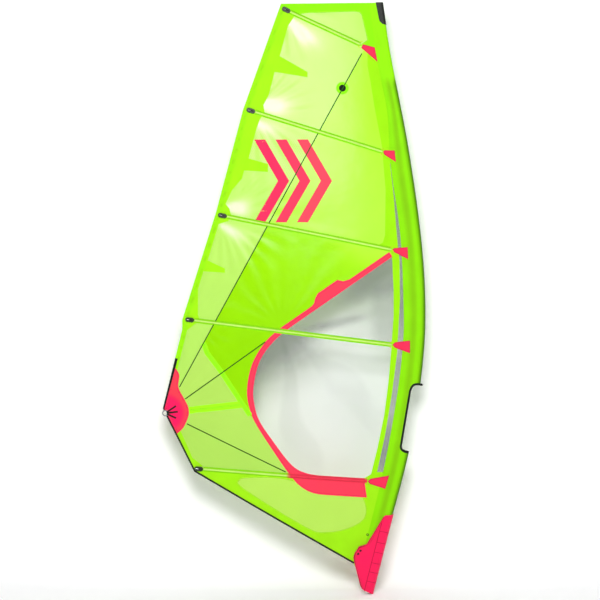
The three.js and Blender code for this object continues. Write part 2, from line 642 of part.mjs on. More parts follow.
// ---- Clew ---------------------------------------------------------------------------------------

const clewY = sailY(...CLEW);

/** Pressed ring with a flat on each side. */
function clewRing() {
  const { outer, inner, thickness } = RING;
  const side = thickness / 2;
  const round = 2;
  const profile = [
    [inner + round, -side], [outer - round, -side], [outer, round - side], [outer, side - round],
    [outer - round, side], [inner + round, side], [inner, side - round], [inner, round - side],
    [inner + round, -side],
  ];
  const geometry = new THREE.LatheGeometry(profile.map(([r, y]) => new THREE.Vector2(r, y)), 24);
  return geometry.translate(CLEW[0], clewY, CLEW[1]);
}
add('clew_ring', toSolid(clewRing()), STEEL);

/** Three straps that fan out from the ring, joined by a collar beside it. */
function clewStraps() {
  const strap = (end) => prism(ribbon([CLEW, end], STRAP.width));
  const collar = Array.from({ length: 9 }, (_, i) => -0.55 + i * 0.15);
  const arc = (radius) => collar.map((a) => [CLEW[0] + radius * Math.cos(a), CLEW[1] + radius * Math.sin(a)]);
  const fan = STRAP.ends.map(strap).reduce((all, one) => all.add(one))
    .add(prism([...arc(RING.outer), ...arc(RING.outer + 8).reverse()]))
    .subtract(prism(circle(CLEW, RING.outer + SEAM_GAP, 32)));
  return fan.intersect(slab(inFront(sailY, 1.2 + STRAP.thickness), inFront(sailY, 1.2),
    [CLEW[0] - 20, CLEW[0] + 110], [CLEW[1] - 70, CLEW[1] + 80], 50));
}
add('clew_webbing', clewStraps(), BLACK_WEBBING);

// ---- Tack block --------------------------------------------------------------------------------

const tackY = sailY(TACK_BLOCK.x, TACK_BLOCK.filmFoot);

/** Cylinder across the sail at the block, from Y offsets about the block's middle. */
function acrossPin(radius, from, to, sides = 16) {
  const geometry = new THREE.CylinderGeometry(radius, radius, to - from, sides);
  geometry.translate(TACK_BLOCK.x, tackY + (from + to) / 2, ROLLER.z);
  return toSolid(geometry);
}

/** Two cheeks, a keeper under the rollers, a bridge over them and a slotted lug for the film. */
function tackBlock() {
  const { x, foot, width, half, cheek, keeper, bridge, lugTop, lug } = TACK_BLOCK;
  const aft = x - width / 2;
  const fore = x + width / 2;
  const corner = 8;
  const plate = [[aft, foot + corner], [aft + corner, foot], [fore, foot],
    [fore, bridge[1] - corner], [fore - corner, bridge[1]],
    [aft + corner, bridge[1]], [aft, bridge[1] - corner]];
  const cheeks = prism(plate, tackY - half, tackY - half + cheek)
    .add(prism(plate, tackY + half - cheek, tackY + half));
  const keeperBar = box([x - keeper, tackY - half, foot], [x + keeper, tackY + half, foot + 6]);
  const top = box([aft + corner, tackY - half, bridge[0]], [fore - corner, tackY + half, bridge[1]]);
  const ear = box([x - lug[0] / 2, tackY - lug[1] / 2, bridge[1] - 2],
    [x + lug[0] / 2, tackY + lug[1] / 2, lugTop]);
  const filmSlot = slab(inFront(sailY, TACK_BLOCK.lugSlot), inFront(sailY, -TACK_BLOCK.lugSlot),
    [x - 40, x + 40], [TACK_BLOCK.filmFoot - 2, lugTop + 20], 20);
  return cheeks.add(keeperBar).add(top).add(ear).subtract(filmSlot)
    .subtract(acrossPin(AXLE_RADIUS + 0.3, -half - 1, half + 1));
}
add('tack_block', tackBlock(), BLACK_NYLON);
add('tack_block_axle', acrossPin(AXLE_RADIUS, 0.3 - TACK_BLOCK.half, TACK_BLOCK.half - 0.3), STEEL);

/** Grooved roller with a plain bore. */
function roller(offset) {
  const { radius, groove, width, bore } = ROLLER;
  const half = width / 2;
  const profile = [[bore, -half], [radius, -half], [radius, 1 - half], [groove, -1.5], [groove, 1.5],
    [radius, half - 1], [radius, half], [bore, half], [bore, -half]];
  const geometry = new THREE.LatheGeometry(profile.map(([r, y]) => new THREE.Vector2(r, y)), 12);
  return toSolid(geometry.translate(TACK_BLOCK.x, tackY + offset, ROLLER.z));
}
['starboard', 'middle', 'port'].forEach((side, i) => {
  add(`tack_roller_${side}`, roller((i - 1) * ROLLER.pitch), STEEL);
});

// ---- Tack fairing ------------------------------------------------------------------------------

const FAIRING_AFT = through([[-20, -60], [36, -78], [58, -87], [223, -130], [262, -134], [300, -122],
  [335, -98], [353, -42], [450, 18], [542, 74]]);
const FAIRING = [[0, 0], [-76, 36], [-87, 58], [-130, 223], [-136, 259], [-127, 290], [-98, 335],
  [-42, 353], [74, 542], [88, 554], [200, 561], [200, 0]];

/** Inside of the fairing: clear of the mast, the tack block and the sleeve, closing on the film aft. */
function fairingHalf(x, z) {
  const insideRadius = FAIRING_NOSE - FAIRING_WALL;
  const closing = 1.6 + FAIRING_CLOSING * Math.max(0, x - FAIRING_AFT(z));
  const overSleeve = z > SLEEVE_BOTTOM - 10 ? sleeveHalf(x, z) + 1 : 0;
  return Math.min(insideRadius, Math.max(closing, overSleeve));
}

function fairing() {
  const tube = (radius, extra, low, high) => toSolid(luffTube({
    heights: [low, 30, 58, ...levels(100, 540, 8), high],
    radius: () => radius,
    half: (x, z) => fairingHalf(x, z) + extra,
    backs: (z) => between(luffX(z) + FAIRING_PROUD - FAIRING_NOSE - 2, FAIRING_AFT(z) - 15, 5),
    nose: (z) => luffX(z) + FAIRING_PROUD - (FAIRING_NOSE - radius),
  }));
  return tube(FAIRING_NOSE, FAIRING_WALL, -10, FAIRING_TOP + 10)
    .subtract(tube(FAIRING_NOSE - FAIRING_WALL, 0, -15, FAIRING_TOP + 15))
    .intersect(prism(FAIRING));
}
const halfSpace = (from, to) => slab(inFront(sailY, from), inFront(sailY, to), [-157, 243], [-61, 639], 50);
const wrap = fairing();
add('tack_fairing', wrap.intersect(halfSpace(-0.9, -200)), PINK_NEOPRENE);
add('tack_fairing_flap', wrap.intersect(halfSpace(200, 0.9)), PINK_NEOPRENE);

sail.position.set(-TACK_BLOCK.x, -tackY, -TACK_BLOCK.foot);
export default sail;
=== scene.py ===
"""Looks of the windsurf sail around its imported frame: cloth, film, seams, webbing and a pale studio.

Shapes are worked out in layout millimetres, the sail standing in the XZ plane with its tack at the
foot of the luff, and are put into the row frame, in metres, by place()."""
import math

import bmesh
import bpy
import numpy as np
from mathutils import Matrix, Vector
from mathutils.geometry import delaunay_2d_cdt


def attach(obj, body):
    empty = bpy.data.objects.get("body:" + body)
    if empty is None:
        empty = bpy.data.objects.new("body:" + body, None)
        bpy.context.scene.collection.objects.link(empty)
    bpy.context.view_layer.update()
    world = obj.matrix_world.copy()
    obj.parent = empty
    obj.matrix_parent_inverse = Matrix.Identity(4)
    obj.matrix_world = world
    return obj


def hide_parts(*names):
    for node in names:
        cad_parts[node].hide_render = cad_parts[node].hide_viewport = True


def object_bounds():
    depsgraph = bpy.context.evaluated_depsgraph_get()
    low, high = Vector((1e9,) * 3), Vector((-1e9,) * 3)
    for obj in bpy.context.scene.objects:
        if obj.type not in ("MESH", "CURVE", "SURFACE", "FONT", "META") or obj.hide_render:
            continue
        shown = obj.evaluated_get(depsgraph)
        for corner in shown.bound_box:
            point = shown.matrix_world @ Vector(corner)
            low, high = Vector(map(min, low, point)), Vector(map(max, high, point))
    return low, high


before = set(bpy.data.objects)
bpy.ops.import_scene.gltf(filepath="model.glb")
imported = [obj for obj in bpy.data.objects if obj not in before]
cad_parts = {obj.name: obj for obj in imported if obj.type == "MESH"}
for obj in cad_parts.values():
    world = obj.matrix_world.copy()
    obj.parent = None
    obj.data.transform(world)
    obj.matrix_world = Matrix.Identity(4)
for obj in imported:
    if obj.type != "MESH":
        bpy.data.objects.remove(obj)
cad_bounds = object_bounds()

# ---- The sail's surface --------------------------------------------------------------------------

HEAD_Z = 4145
LUFF = [(0, 0), (500, 128), (990, 254), (1473, 336), (1900, 371), (2411, 350), (3111, 255),
        (3811, 122), (HEAD_Z, 72)]
SLEEVE_TAIL = [(300, -57), (857, 80), (1411, 180), (1802, 222), (2061, 222), (2509, 201),
               (3013, 133), (3386, 108), (3671, 52), (HEAD_Z, -18)]
MAST_ROOM = [(0, 26), (1500, 25), (3000, 20), (HEAD_Z, 14)]
CAMBER = [(-100, 14), (600, 50), (1300, 72), (2200, 60), (3200, 30), (HEAD_Z + 100, 8)]
LEECH_TWIST = 40
SLEEVE_BOTTOM = 330
CLEW = (-1454, 1267)
TACK = (-50, 112)
BATTENS = {
    "1_top": ((-606, 4089), (-82, 3849)),
    "2": ((-853, 3386), (74, 3097)),
    "3": ((-1052, 2652), (136, 2412)),
    "4": ((-1281, 1922), (136, 1748)),
    "5_foot": ((-1218, 879), (-34, 795)),
}
HOUSING_HALF = 31


def through(knots):
    """Smooth value through a few (at, value) knots; straight on beyond either end."""
    at = np.array([k[0] for k in knots], float)
    value = np.array([k[1] for k in knots], float)
    order = np.arange(len(at))
    before = np.maximum(order - 1, 0)
    after = np.minimum(order + 1, len(at) - 1)
    slope = (value[after] - value[before]) / (at[after] - at[before])

    def curve(t):
        t = np.asarray(t, float)
        i = np.clip(np.searchsorted(at, t, side="right") - 1, 0, len(at) - 2)
        span = at[i + 1] - at[i]
        s = np.clip((t - at[i]) / span, 0, 1)
        rise = s * s * (3 - 2 * s)
        bend = slope[i] * s * (1 - s) ** 2 - slope[i + 1] * s * s * (1 - s)
        beyond = np.maximum(t - at[-1], 0) * slope[-1] + np.minimum(t - at[0], 0) * slope[0]
        return value[i] * (1 - rise) + value[i + 1] * rise + span * bend + beyond

    return curve


luff_x = through(LUFF)
tail_x = through(SLEEVE_TAIL)
nose_radius = through(MAST_ROOM)
camber_depth = through(CAMBER)


def sail_y(x, z):
    above = z - CLEW[1]
    aft = -1480 + 0.289 * (above + np.hypot(above, 300)) / 2
    chord = np.maximum(0, (luff_x(z) - x) / (luff_x(z) - aft))
    bow = (1.5 * chord - 2.5 * chord**2 + chord**3) / 0.264
    height = np.maximum(0, np.asarray(z, float) / HEAD_Z)
    return -camber_depth(z) * bow - LEECH_TWIST * (height * chord) ** 2


def sleeve_half(x, z):
    """Half thickness of the mast sleeve: a round nose, then flat sides that meet at the tail."""
    radius = nose_radius(z)
    back = luff_x(z) - x
    width = luff_x(z) - tail_x(z)
    tangent = np.arccos(radius / (width - radius))
    tangent_back = radius + radius * np.cos(tangent)
    nose = np.sqrt(np.maximum(0, radius**2 - (radius - back) ** 2))
    side = radius * np.sin(tangent) * (width - back) / (width - tangent_back)
    half = np.where(back < tangent_back, nose, side)
    return np.where((back <= 0) | (back >= width), 0, half)


def ease(value, low, high):
    s = np.clip((value - low) / (high - low), 0, 1)
    return s * s * (3 - 2 * s)


def line_distance(x, z, start, end, extend=0):
    """Distance to a straight line, and how far along it, with the start moved back by extend."""
    start = np.array(start, float)
    run = np.array(end, float) - start
    length = np.hypot(*run)
    run /= length
    along = np.clip((x - start[0]) * run[0] + (z - start[1]) * run[1], -extend, length)
    gap = np.hypot(x - start[0] - along * run[0], z - start[1] - along * run[1])
    return gap, along


def waves(x, z, scale, seed):
    """Smooth, repeatable unevenness between about -1 and 1."""
    total = np.zeros(np.broadcast(x, z).shape)
    for i in range(5):
        angle = seed * 1.7 + i * 2.4
        pitch = scale * (0.7 + 0.23 * i)
        total += np.sin((x * math.cos(angle) + z * math.sin(angle)) * 2 * math.pi / pitch + seed + i * i)
    return total / 3.2


def fan(x, z, centre, spokes, reach, seed):
    """Creases that spread from a point and fade with distance."""
    angle = np.arctan2(z - centre[1], x - centre[0])
    distance = np.hypot(x - centre[0], z - centre[1])
    strength = ease(distance, 30, 120) * (1 - ease(distance, 0.4 * reach, reach))
    return strength * np.sin(angle * spokes + seed + 0.8 * waves(x, z, 500, seed))


def wrinkle(x, z):
    """How far the cloth is pushed out of its designed surface, in mm; none where it is held."""
    rise = 1.5 * waves(x, z, 620, 1.0)
    for name, spokes, reach in (("1_top", 22, 420), ("2", 26, 620), ("3", 26, 620), ("4", 22, 420)):
        rise = rise + 1.6 * fan(x, z, BATTENS[name][0], spokes, reach, len(name) + spokes)
    rise = rise + 1.5 * fan(x, z, CLEW, 34, 900, 0.4)
    rise = rise + 0.9 * fan(x, z, (-640, 1880), 19, 1000, 2.0)
    rise = rise + 1.2 * fan(x, z, TACK, 26, 800, 1.2)
    held = ease(tail_x(z) - x, 5, 130) * ease(np.hypot(x - CLEW[0], z - CLEW[1]), 60, 170)
    held = held * ease(np.hypot(x - TACK[0], z - TACK[1]), 90, 260)
    for start, end in BATTENS.values():
        held = held * ease(line_distance(x, z, start, end, 45)[0], 22, 95)
    return rise * held


def cloth_y(x, z):
    return sail_y(x, z) + wrinkle(x, z)


SHIFT = np.array([-TACK[0], -float(sail_y(*TACK)), -45.0])


def place(x, y, z):
    """Row-frame points in metres from layout millimetres."""
    x, y, z = np.broadcast_arrays(x, y, z)
    return (np.stack([x, y, z], -1) + SHIFT) / 1000


# ---- Meshes --------------------------------------------------------------------------------------

def linear(colour):
    c = np.asarray(colour, float) / 255
    return np.where(c <= 0.04045, c / 12.92, ((c + 0.055) / 1.055) ** 2.4)


def mix(a, b, t):
    """Colour between two 0-255 colours, or rows of them, by a value per point."""
    t = np.asarray(t, float)[..., None]
    return np.asarray(a, float) * (1 - t) + np.asarray(b, float) * t


def make(name, points, faces, material, paint, body="root", stands_for=(), slot=None, uvs=None,
         smooth=35):
    """Adds one piece. paint(x, z) gives its colour, 0-255, from layout millimetres."""
    mesh = bpy.data.meshes.new(name)
    mesh.from_pydata([tuple(p) for p in points], [], [tuple(int(i) for i in f) for f in faces])
    if uvs is not None:
        layer = mesh.uv_layers.new(name="UVMap")
        corners = np.array([loop.vertex_index for loop in mesh.loops])
        layer.data.foreach_set("uv", np.asarray(uvs, np.float32)[corners].ravel())
    mesh.validate()
    obj = bpy.data.objects.new(name, mesh)
    bpy.context.scene.collection.objects.link(obj)
    finish(obj, material, paint, body, stands_for, smooth)
    return obj


def finish(obj, material, paint, body, stands_for=(), smooth=35):
    """Colour, outward faces, material and body of a piece."""
    mesh = obj.data
    edit = bmesh.new()
    edit.from_mesh(mesh)
    bmesh.ops.recalc_face_normals(edit, faces=edit.faces)
    edit.to_mesh(mesh)
    edit.free()
    co = np.zeros(len(mesh.vertices) * 3, np.float32)
    mesh.vertices.foreach_get("co", co)
    co = co.reshape(-1, 3) * 1000 - SHIFT
    colour = paint(co[:, 0], co[:, 2]) if callable(paint) else np.tile(paint, (len(co), 1))
    tone = mesh.color_attributes.new("tone", "FLOAT_COLOR", "POINT")
    tone.data.foreach_set("color", np.c_[linear(colour), np.ones(len(co))].astype(np.float32).ravel())
    mesh.shade_smooth()
    mesh.set_sharp_from_angle(angle=math.radians(smooth))
    mesh.materials.clear()
    mesh.materials.append(material)
    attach(obj, body)
    if stands_for:
        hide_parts(*stands_for)


def node_outline(node):
    """Outline of a CAD node's -Y side, as (x, z) in layout mm."""
    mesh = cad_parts[node].data
    key = {}
    ids = []
    for v in mesh.vertices:
        p = np.array(v.co) * 1000 - SHIFT
        ids.append(key.setdefault((round(p[0], 2), round(p[1], 2), round(p[2], 2)), len(key)))
    where = {i: (k[0], k[2]) for k, i in key.items()}
    directed = set()
    for face in mesh.polygons:
        if face.normal.y < -0.4:
            corner = [ids[i] for i in face.vertices]
            directed.update((corner[i], corner[(i + 1) % len(corner)]) for i in range(len(corner)))
    step = {a: b for a, b in directed if (b, a) not in directed and a != b}
    loops = []
    while step:
        first = next(iter(step))
        loop = [first]
        following = step.pop(first)
        while following != first and following in step:
            loop.append(following)
            following = step.pop(following)
        if len(loop) > 2:
            loops.append(np.array([where[i] for i in loop]))
    return max(loops, key=lambda loop: abs(area(loop)))


def area(loop):
    x, z = loop[:, 0], loop[:, 1]
    return float(np.sum(x * np.roll(z, -1) - np.roll(x, -1) * z)) / 2


def grow(loop, distance):
    side = distance if area(loop) > 0 else -distance
    step = np.roll(loop, -1, 0) - loop
    step /= np.hypot(step[:, 0], step[:, 1])[:, None]
    after = np.c_[step[:, 1], -step[:, 0]]
    before = np.roll(after, 1, 0)
    scale = side / np.maximum(0.3, 1 + np.sum(before * after, 1))
    return loop + (before + after) * scale[:, None]


def divide(line, step, closed):
    """A line with no stretch longer than step."""
    points = []
    count = len(line) if closed else len(line) - 1
    for i in range(count):
        a, b = line[i], line[(i + 1) % len(line)]
        parts = max(1, math.ceil(math.dist(a, b) / step))
        points += [a + (b - a) * k / parts for k in range(parts)]
    if not closed:
        points.append(line[-1])
    return np.array(points)


def fill(loop, cell):
    """Triangles over an outline, with an even grid of points inside."""
    rim = divide(loop, cell, True)
    low, high = rim.min(0), rim.max(0)
    gx, gz = np.meshgrid(np.arange(low[0], high[0], cell), np.arange(low[1], high[1], cell))
    gx = gx + (np.arange(gx.shape[0]) % 2)[:, None] * cell / 2
    px, pz = gx.ravel(), gz.ravel()
    inside = np.zeros(len(px), bool)
    near = np.full(len(px), 1e9)
    for a, b in zip(loop, np.roll(loop, -1, 0)):
        crosses = ((a[1] > pz) != (b[1] > pz))
        if a[1] != b[1]:
            inside ^= crosses & (px < (b[0] - a[0]) * (pz - a[1]) / (b[1] - a[1]) + a[0])
        if math.dist(a, b) > 1e-6:
            near = np.minimum(near, line_distance(px, pz, a, b)[0])
    keep = inside & (near > 0.35 * cell)
    points = np.concatenate([rim, np.c_[px, pz][keep]])
    out = delaunay_2d_cdt([Vector(p) for p in points], [], [list(range(len(rim)))], 1, 1e-4)
    return np.array([tuple(v) for v in out[0]]), [tuple(f) for f in out[2]]


def sheet(name, loop, material, paint, lift=0.0, thickness=1.0, cell=18, side=-1, surface=cloth_y,
          puff=0.0, **more):
    """Thin closed sheet over an outline, lying on the sail; lift is towards the given side."""
    flat, faces = fill(np.asarray(loop, float), cell)
    x, z = flat[:, 0], flat[:, 1]
    middle = surface(x, z) + side * lift
    half = np.full(len(x), thickness / 2)
    if puff:
        edge = np.full(len(x), 1e9)
        for a, b in zip(loop, np.roll(loop, -1, 0)):
            edge = np.minimum(edge, line_distance(x, z, a, b)[0])
        half = half + puff * ease(edge, -2, 9)
    points = np.concatenate([place(x, middle - half, z), place(x, middle + thickness / 2, z)])
    count = len(x)
    used = {}
    for f in faces:
        for a, b in zip(f, f[1:] + f[:1]):
            used[(a, b)] = True
    walls = [(a, b, b + count, a + count) for a, b in used if (b, a) not in used]
    back = [tuple(i + count for i in reversed(f)) for f in faces]
    return make(name, points, faces + back + walls, material, paint, **more)


def ribbon(name, line, width, material, paint, lift=0.7, thickness=0.4, step=14, columns=4, side=-1,
           surface=cloth_y, closed=False, **more):
    """Flat tape along a line on the sail, with its length and breadth in metres as UVs."""
    line = divide(np.asarray(line, float), step, closed)
    if closed:
        ahead, behind = np.roll(line, -1, 0), np.roll(line, 1, 0)
    else:
        ahead = np.concatenate([line[1:], line[-1:]])
        behind = np.concatenate([line[:1], line[:-1]])
    run = ahead - behind
    run /= np.maximum(1e-9, np.hypot(run[:, 0], run[:, 1]))[:, None]
    along = np.concatenate([[0], np.cumsum(np.hypot(*np.diff(line, axis=0).T))])
    across = np.linspace(-width / 2, width / 2, columns)
    x = line[:, :1] + run[:, 1:] * across
    z = line[:, 1:] - run[:, :1] * across
    base = surface(x, z) + side * lift
    points = np.concatenate([place(x, base + side * thickness, z).reshape(-1, 3),
                             place(x, base, z).reshape(-1, 3)])
    uv = np.stack(np.broadcast_arrays(along[:, None], across[None, :]), -1).reshape(-1, 2) / 1000
    rows = len(line)
    layer = rows * columns
    faces = []
    for r in range(rows if closed else rows - 1):
        n = (r + 1) % rows
        for c in range(columns - 1):
            a, b, d, e = r * columns + c, r * columns + c + 1, n * columns + c + 1, n * columns + c
            faces += [(a, b, d, e), (layer + e, layer + d, layer + b, layer + a)]
        for c in (0, columns - 1):
            a, b = r * columns + c, n * columns + c
            faces.append((a, b, layer + b, layer + a))
    if not closed:
        for r in (0, rows - 1):
            for c in range(columns - 1):
                a = r * columns + c
                faces.append((a, a + 1, layer + a + 1, layer + a))
    return make(name, points, faces, material, paint, uvs=np.concatenate([uv, uv]), **more)


def loft(rings, ends=True):
    """Points and faces of a tube through rings of points, closed at both ends."""
    count = len(rings[0])
    points = np.concatenate(rings)
    faces = []
    for r in range(len(rings) - 1):
        for i in range(count):
            a, b = r * count + i, r * count + (i + 1) % count
            faces.append((a, b, b + count, a + count))
    if ends:
        faces.append(tuple(reversed(range(count))))
        faces.append(tuple(range((len(rings) - 1) * count, len(rings) * count)))
    return points, faces


def cut(obj, loop, how):
    """Cuts a piece with a prism through the sail that has the given (x, z) outline."""
    loop = np.asarray(loop, float)
    rings = [place(loop[:, 0], y, loop[:, 1]) for y in (-260.0, 160.0)]
    cutter = solid("cutter", *loft(rings))
    modifier = obj.modifiers.new("cut", "BOOLEAN")
    modifier.object = cutter
    modifier.operation = how
    modifier.solver = "EXACT"
    evaluated = obj.evaluated_get(bpy.context.evaluated_depsgraph_get())
    result = bpy.data.meshes.new_from_object(evaluated)
    obj.modifiers.clear()
    obj.data = result
    bpy.data.objects.remove(cutter)


def solid(name, points, faces):
    """Bare object, faces turned outward, to be cut or to cut with."""
    mesh = bpy.data.meshes.new(name)
    mesh.from_pydata([tuple(p) for p in points], [], faces)
    edit = bmesh.new()
    edit.from_mesh(mesh)
    bmesh.ops.recalc_face_normals(edit, faces=edit.faces)
    edit.to_mesh(mesh)
    edit.free()
    obj = bpy.data.objects.new(name, mesh)
    bpy.context.scene.collection.objects.link(obj)
    return obj


# ---- Materials -----------------------------------------------------------------------------------


class Graph:
    """Shader nodes of one material."""

    def __init__(self, name):
        self.material = bpy.data.materials.new(name)
        self.material.use_nodes = True
        self.tree = self.material.node_tree
        self.tree.nodes.clear()
        self.out = self.tree.nodes.new("ShaderNodeOutputMaterial")

    def add(self, kind, inputs=None, **settings):
        node = self.tree.nodes.new("ShaderNode" + kind)
        for key, value in settings.items():
            setattr(node, key, value)
        for key, value in (inputs or {}).items():
            if isinstance(value, bpy.types.NodeSocket):
                self.tree.links.new(value, node.inputs[key])
            else:
                node.inputs[key].default_value = value
        return node

    def maths(self, operation, a, b=0.0, c=0.0):
        return self.add("Math", {0: a, 1: b, 2: c}, operation=operation).outputs[0]

    def blend(self, amount, a, b):
        node = self.add("Mix", {0: amount, 6: a, 7: b}, data_type="RGBA")
        return node.outputs[2]

    def tone(self):
        return self.add("Attribute", attribute_name="tone").outputs["Color"]

    def place(self):
        return self.add("TexCoord").outputs["Object"]

    def lines(self, coordinate, pitch, share):
        """1 on evenly spaced lines, 0 between them; pitch in metres."""
        turn = self.maths("FRACT", self.maths("DIVIDE", coordinate, pitch))
        return self.maths("LESS_THAN", turn, share)

    def noise(self, scale, detail=2.0, vector=None):
        inputs = {"Scale": scale, "Detail": detail, "Vector": vector or self.place()}
        return self.add("TexNoise", inputs).outputs["Fac"]

    def bump(self, height, strength, distance, normal=None):
        inputs = {"Height": height, "Strength": strength, "Distance": distance}
        if normal:
            inputs["Normal"] = normal
        return self.add("Bump", inputs).outputs["Normal"]

    def end(self, surface):
        self.tree.links.new(surface, self.out.inputs["Surface"])
        return self.material


def axes(graph):
    split = graph.add("SeparateXYZ", {0: graph.place()})
    return split.outputs[0], split.outputs[1], split.outputs[2]


def cloth(name, thread, rough=0.62, relief=0.25, glow=0.18, sheen=0.0, crumple=0.0):
    """Woven cloth coloured by the tone attribute, its threads at real spacing in metres."""
    g = Graph(name)
    x, y, z = axes(g)
    weave = g.maths("MULTIPLY", g.maths("SINE", g.maths("MULTIPLY", x, 2 * math.pi / thread)),
                    g.maths("SINE", g.maths("MULTIPLY", z, 2 * math.pi / thread)))
    uneven = g.noise(7.0, 4.0)
    base = g.blend(g.maths("MULTIPLY", uneven, 0.16), g.tone(), (0.02, 0.05, 0.0, 1.0))
    normal = g.bump(weave, relief, thread * 0.25)
    if crumple:
        normal = g.bump(g.noise(16.0, 3.0), crumple, 0.004, normal)
    skin = g.add("BsdfPrincipled", {
        "Base Color": base, "Roughness": rough, "Normal": normal, "Specular IOR Level": 0.1,
        "Sheen Weight": sheen, "Sheen Roughness": 0.4,
    }).outputs[0]
    through_light = g.add("BsdfTranslucent", {"Color": base, "Normal": normal}).outputs[0]
    return g.end(g.add("MixShader", {0: glow, 1: skin, 2: through_light}).outputs[0])


def laminate(name, yarn=0.012, show=0.2, rough=0.26, glow=0.2):
    """Film with a crossed yarn grid laid inside it; yarn spacing in metres, 0 for plain film."""
    g = Graph(name)
    x, y, z = axes(g)
    base = g.tone()
    uneven = g.noise(5.0, 3.0)
    base = g.blend(g.maths("MULTIPLY", uneven, 0.12), base, (0.1, 0.3, 0.0, 1.0))
    if yarn:
        left = g.maths("ADD", g.maths("MULTIPLY", x, 0.88), g.maths("MULTIPLY", z, 0.47))
        right = g.maths("SUBTRACT", g.maths("MULTIPLY", x, 0.88), g.maths("MULTIPLY", z, 0.47))
        grid = g.maths("MAXIMUM", g.lines(left, yarn, 0.09), g.lines(right, yarn, 0.09))
        grid = g.maths("MAXIMUM", grid, g.lines(z, yarn, 0.07))
        base = g.blend(g.maths("MULTIPLY", grid, show), base, (0.95, 1.0, 0.62, 1.0))
    normal = g.bump(g.noise(9.0, 4.0), 0.25, 0.006)
    skin = g.add("BsdfPrincipled", {
        "Base Color": base, "Roughness": rough, "Normal": normal, "Specular IOR Level": 0.14,
    }).outputs[0]
    through_light = g.add("BsdfTranslucent", {"Color": base, "Normal": normal}).outputs[0]
    return g.end(g.add("MixShader", {0: glow, 1: skin, 2: through_light}).outputs[0])


def clear(name, least=0.05):
    """Clear film: the tone attribute says how grey its reflections make it; white is see-through."""
    g = Graph(name)
    shade = g.add("RGBToBW", {0: g.tone()}).outputs[0]
    cover = g.add("MapRange", {0: shade, 1: 1.0, 2: 0.2, 3: least, 4: 1.0}).outputs[0]
    normal = g.bump(g.noise(6.0, 3.0), 0.15, 0.008)
    skin = g.add("BsdfPrincipled", {
        "Base Color": (0.2, 0.21, 0.21, 1.0), "Roughness": 0.14, "Normal": normal,
        "Specular IOR Level": 0.5,
    }).outputs[0]
    bare = g.add("BsdfTransparent", {"Color": (0.99, 0.995, 0.995, 1.0)}).outputs[0]
    return g.end(g.add("MixShader", {0: cover, 1: bare, 2: skin}).outputs[0])


def stitched(name, pitch=0.0045, rows=(-0.0035, 0.0035), thread=(0.012, 0.03, 0.006, 1.0), rough=0.6):
    """Tape or folded cloth in the tone colour with rows of zigzag stitches along it."""
    g = Graph(name)
    uv = g.add("SeparateXYZ", {0: g.add("TexCoord").outputs["UV"]})
    along, across = uv.outputs[0], uv.outputs[1]
    zigzag = g.maths("MULTIPLY", g.maths("PINGPONG", along, pitch / 2), 0.9)
    mark = None
    for row in rows:
        gap = g.maths("ABSOLUTE", g.maths("SUBTRACT", g.maths("SUBTRACT", across, row), zigzag))
        line = g.maths("LESS_THAN", gap, 0.0006)
        mark = line if mark is None else g.maths("MAXIMUM", mark, line)
    base = g.blend(mark, g.tone(), thread)
    normal = g.bump(mark, 0.6, 0.0006)
    return g.end(g.add("BsdfPrincipled", {
        "Base Color": base, "Roughness": rough, "Normal": normal, "Specular IOR Level": 0.16,
    }).outputs[0])


def webbing(name, rib=0.0016):
    """Ribbed black webbing; ribs run across the length of the tape."""
    g = Graph(name)
    x, y, z = axes(g)
    ribs = g.maths("SINE", g.maths("MULTIPLY", g.maths("ADD", x, z), 2 * math.pi / rib))
    normal = g.bump(ribs, 0.5, rib * 0.3)
    return g.end(g.add("BsdfPrincipled", {
        "Base Color": g.tone(), "Roughness": 0.85, "Normal": normal, "Specular IOR Level": 0.2,
    }).outputs[0])


def moulded(name, colour, rough=0.42, grain=900.0):
    """Moulded plastic with a fine spark-eroded grain."""
    g = Graph(name)
    normal = g.bump(g.noise(grain, 2.0), 0.12, 0.0003)
    uneven = g.blend(g.maths("MULTIPLY", g.noise(60.0, 3.0), 0.3), colour, (0.06, 0.07, 0.05, 1.0))
    return g.end(g.add("BsdfPrincipled", {
        "Base Color": uneven, "Roughness": rough, "Normal": normal, "Specular IOR Level": 0.22,
    }).outputs[0])


def metal(name, rough=0.24):
    """Stainless steel with faint turning marks."""
    g = Graph(name)
    x, y, z = axes(g)
    marks = g.add("CombineXYZ", {0: g.maths("MULTIPLY", x, 40.0), 1: g.maths("MULTIPLY", y, 900.0),
                                 2: g.maths("MULTIPLY", z, 40.0)})
    streak = g.noise(3.0, 3.0, marks.outputs[0])
    rough_at = g.maths("ADD", g.maths("MULTIPLY", streak, 0.16), rough - 0.08)
    return g.end(g.add("BsdfPrincipled", {
        "Base Color": (0.62, 0.63, 0.64, 1.0), "Metallic": 1.0, "Roughness": rough_at,
    }).outputs[0])


def pultruded(name):
    """Carbon rod with lengthwise fibre streaks."""
    g = Graph(name)
    x, y, z = axes(g)
    fibres = g.add("CombineXYZ", {0: g.maths("MULTIPLY", x, 6.0), 1: g.maths("MULTIPLY", y, 700.0),
                                  2: g.maths("MULTIPLY", z, 700.0)})
    streak = g.noise(1.0, 2.0, fibres.outputs[0])
    base = g.blend(streak, (0.008, 0.009, 0.01, 1.0), (0.03, 0.032, 0.034, 1.0))
    return g.end(g.add("BsdfPrincipled", {"Base Color": base, "Roughness": 0.33}).outputs[0])


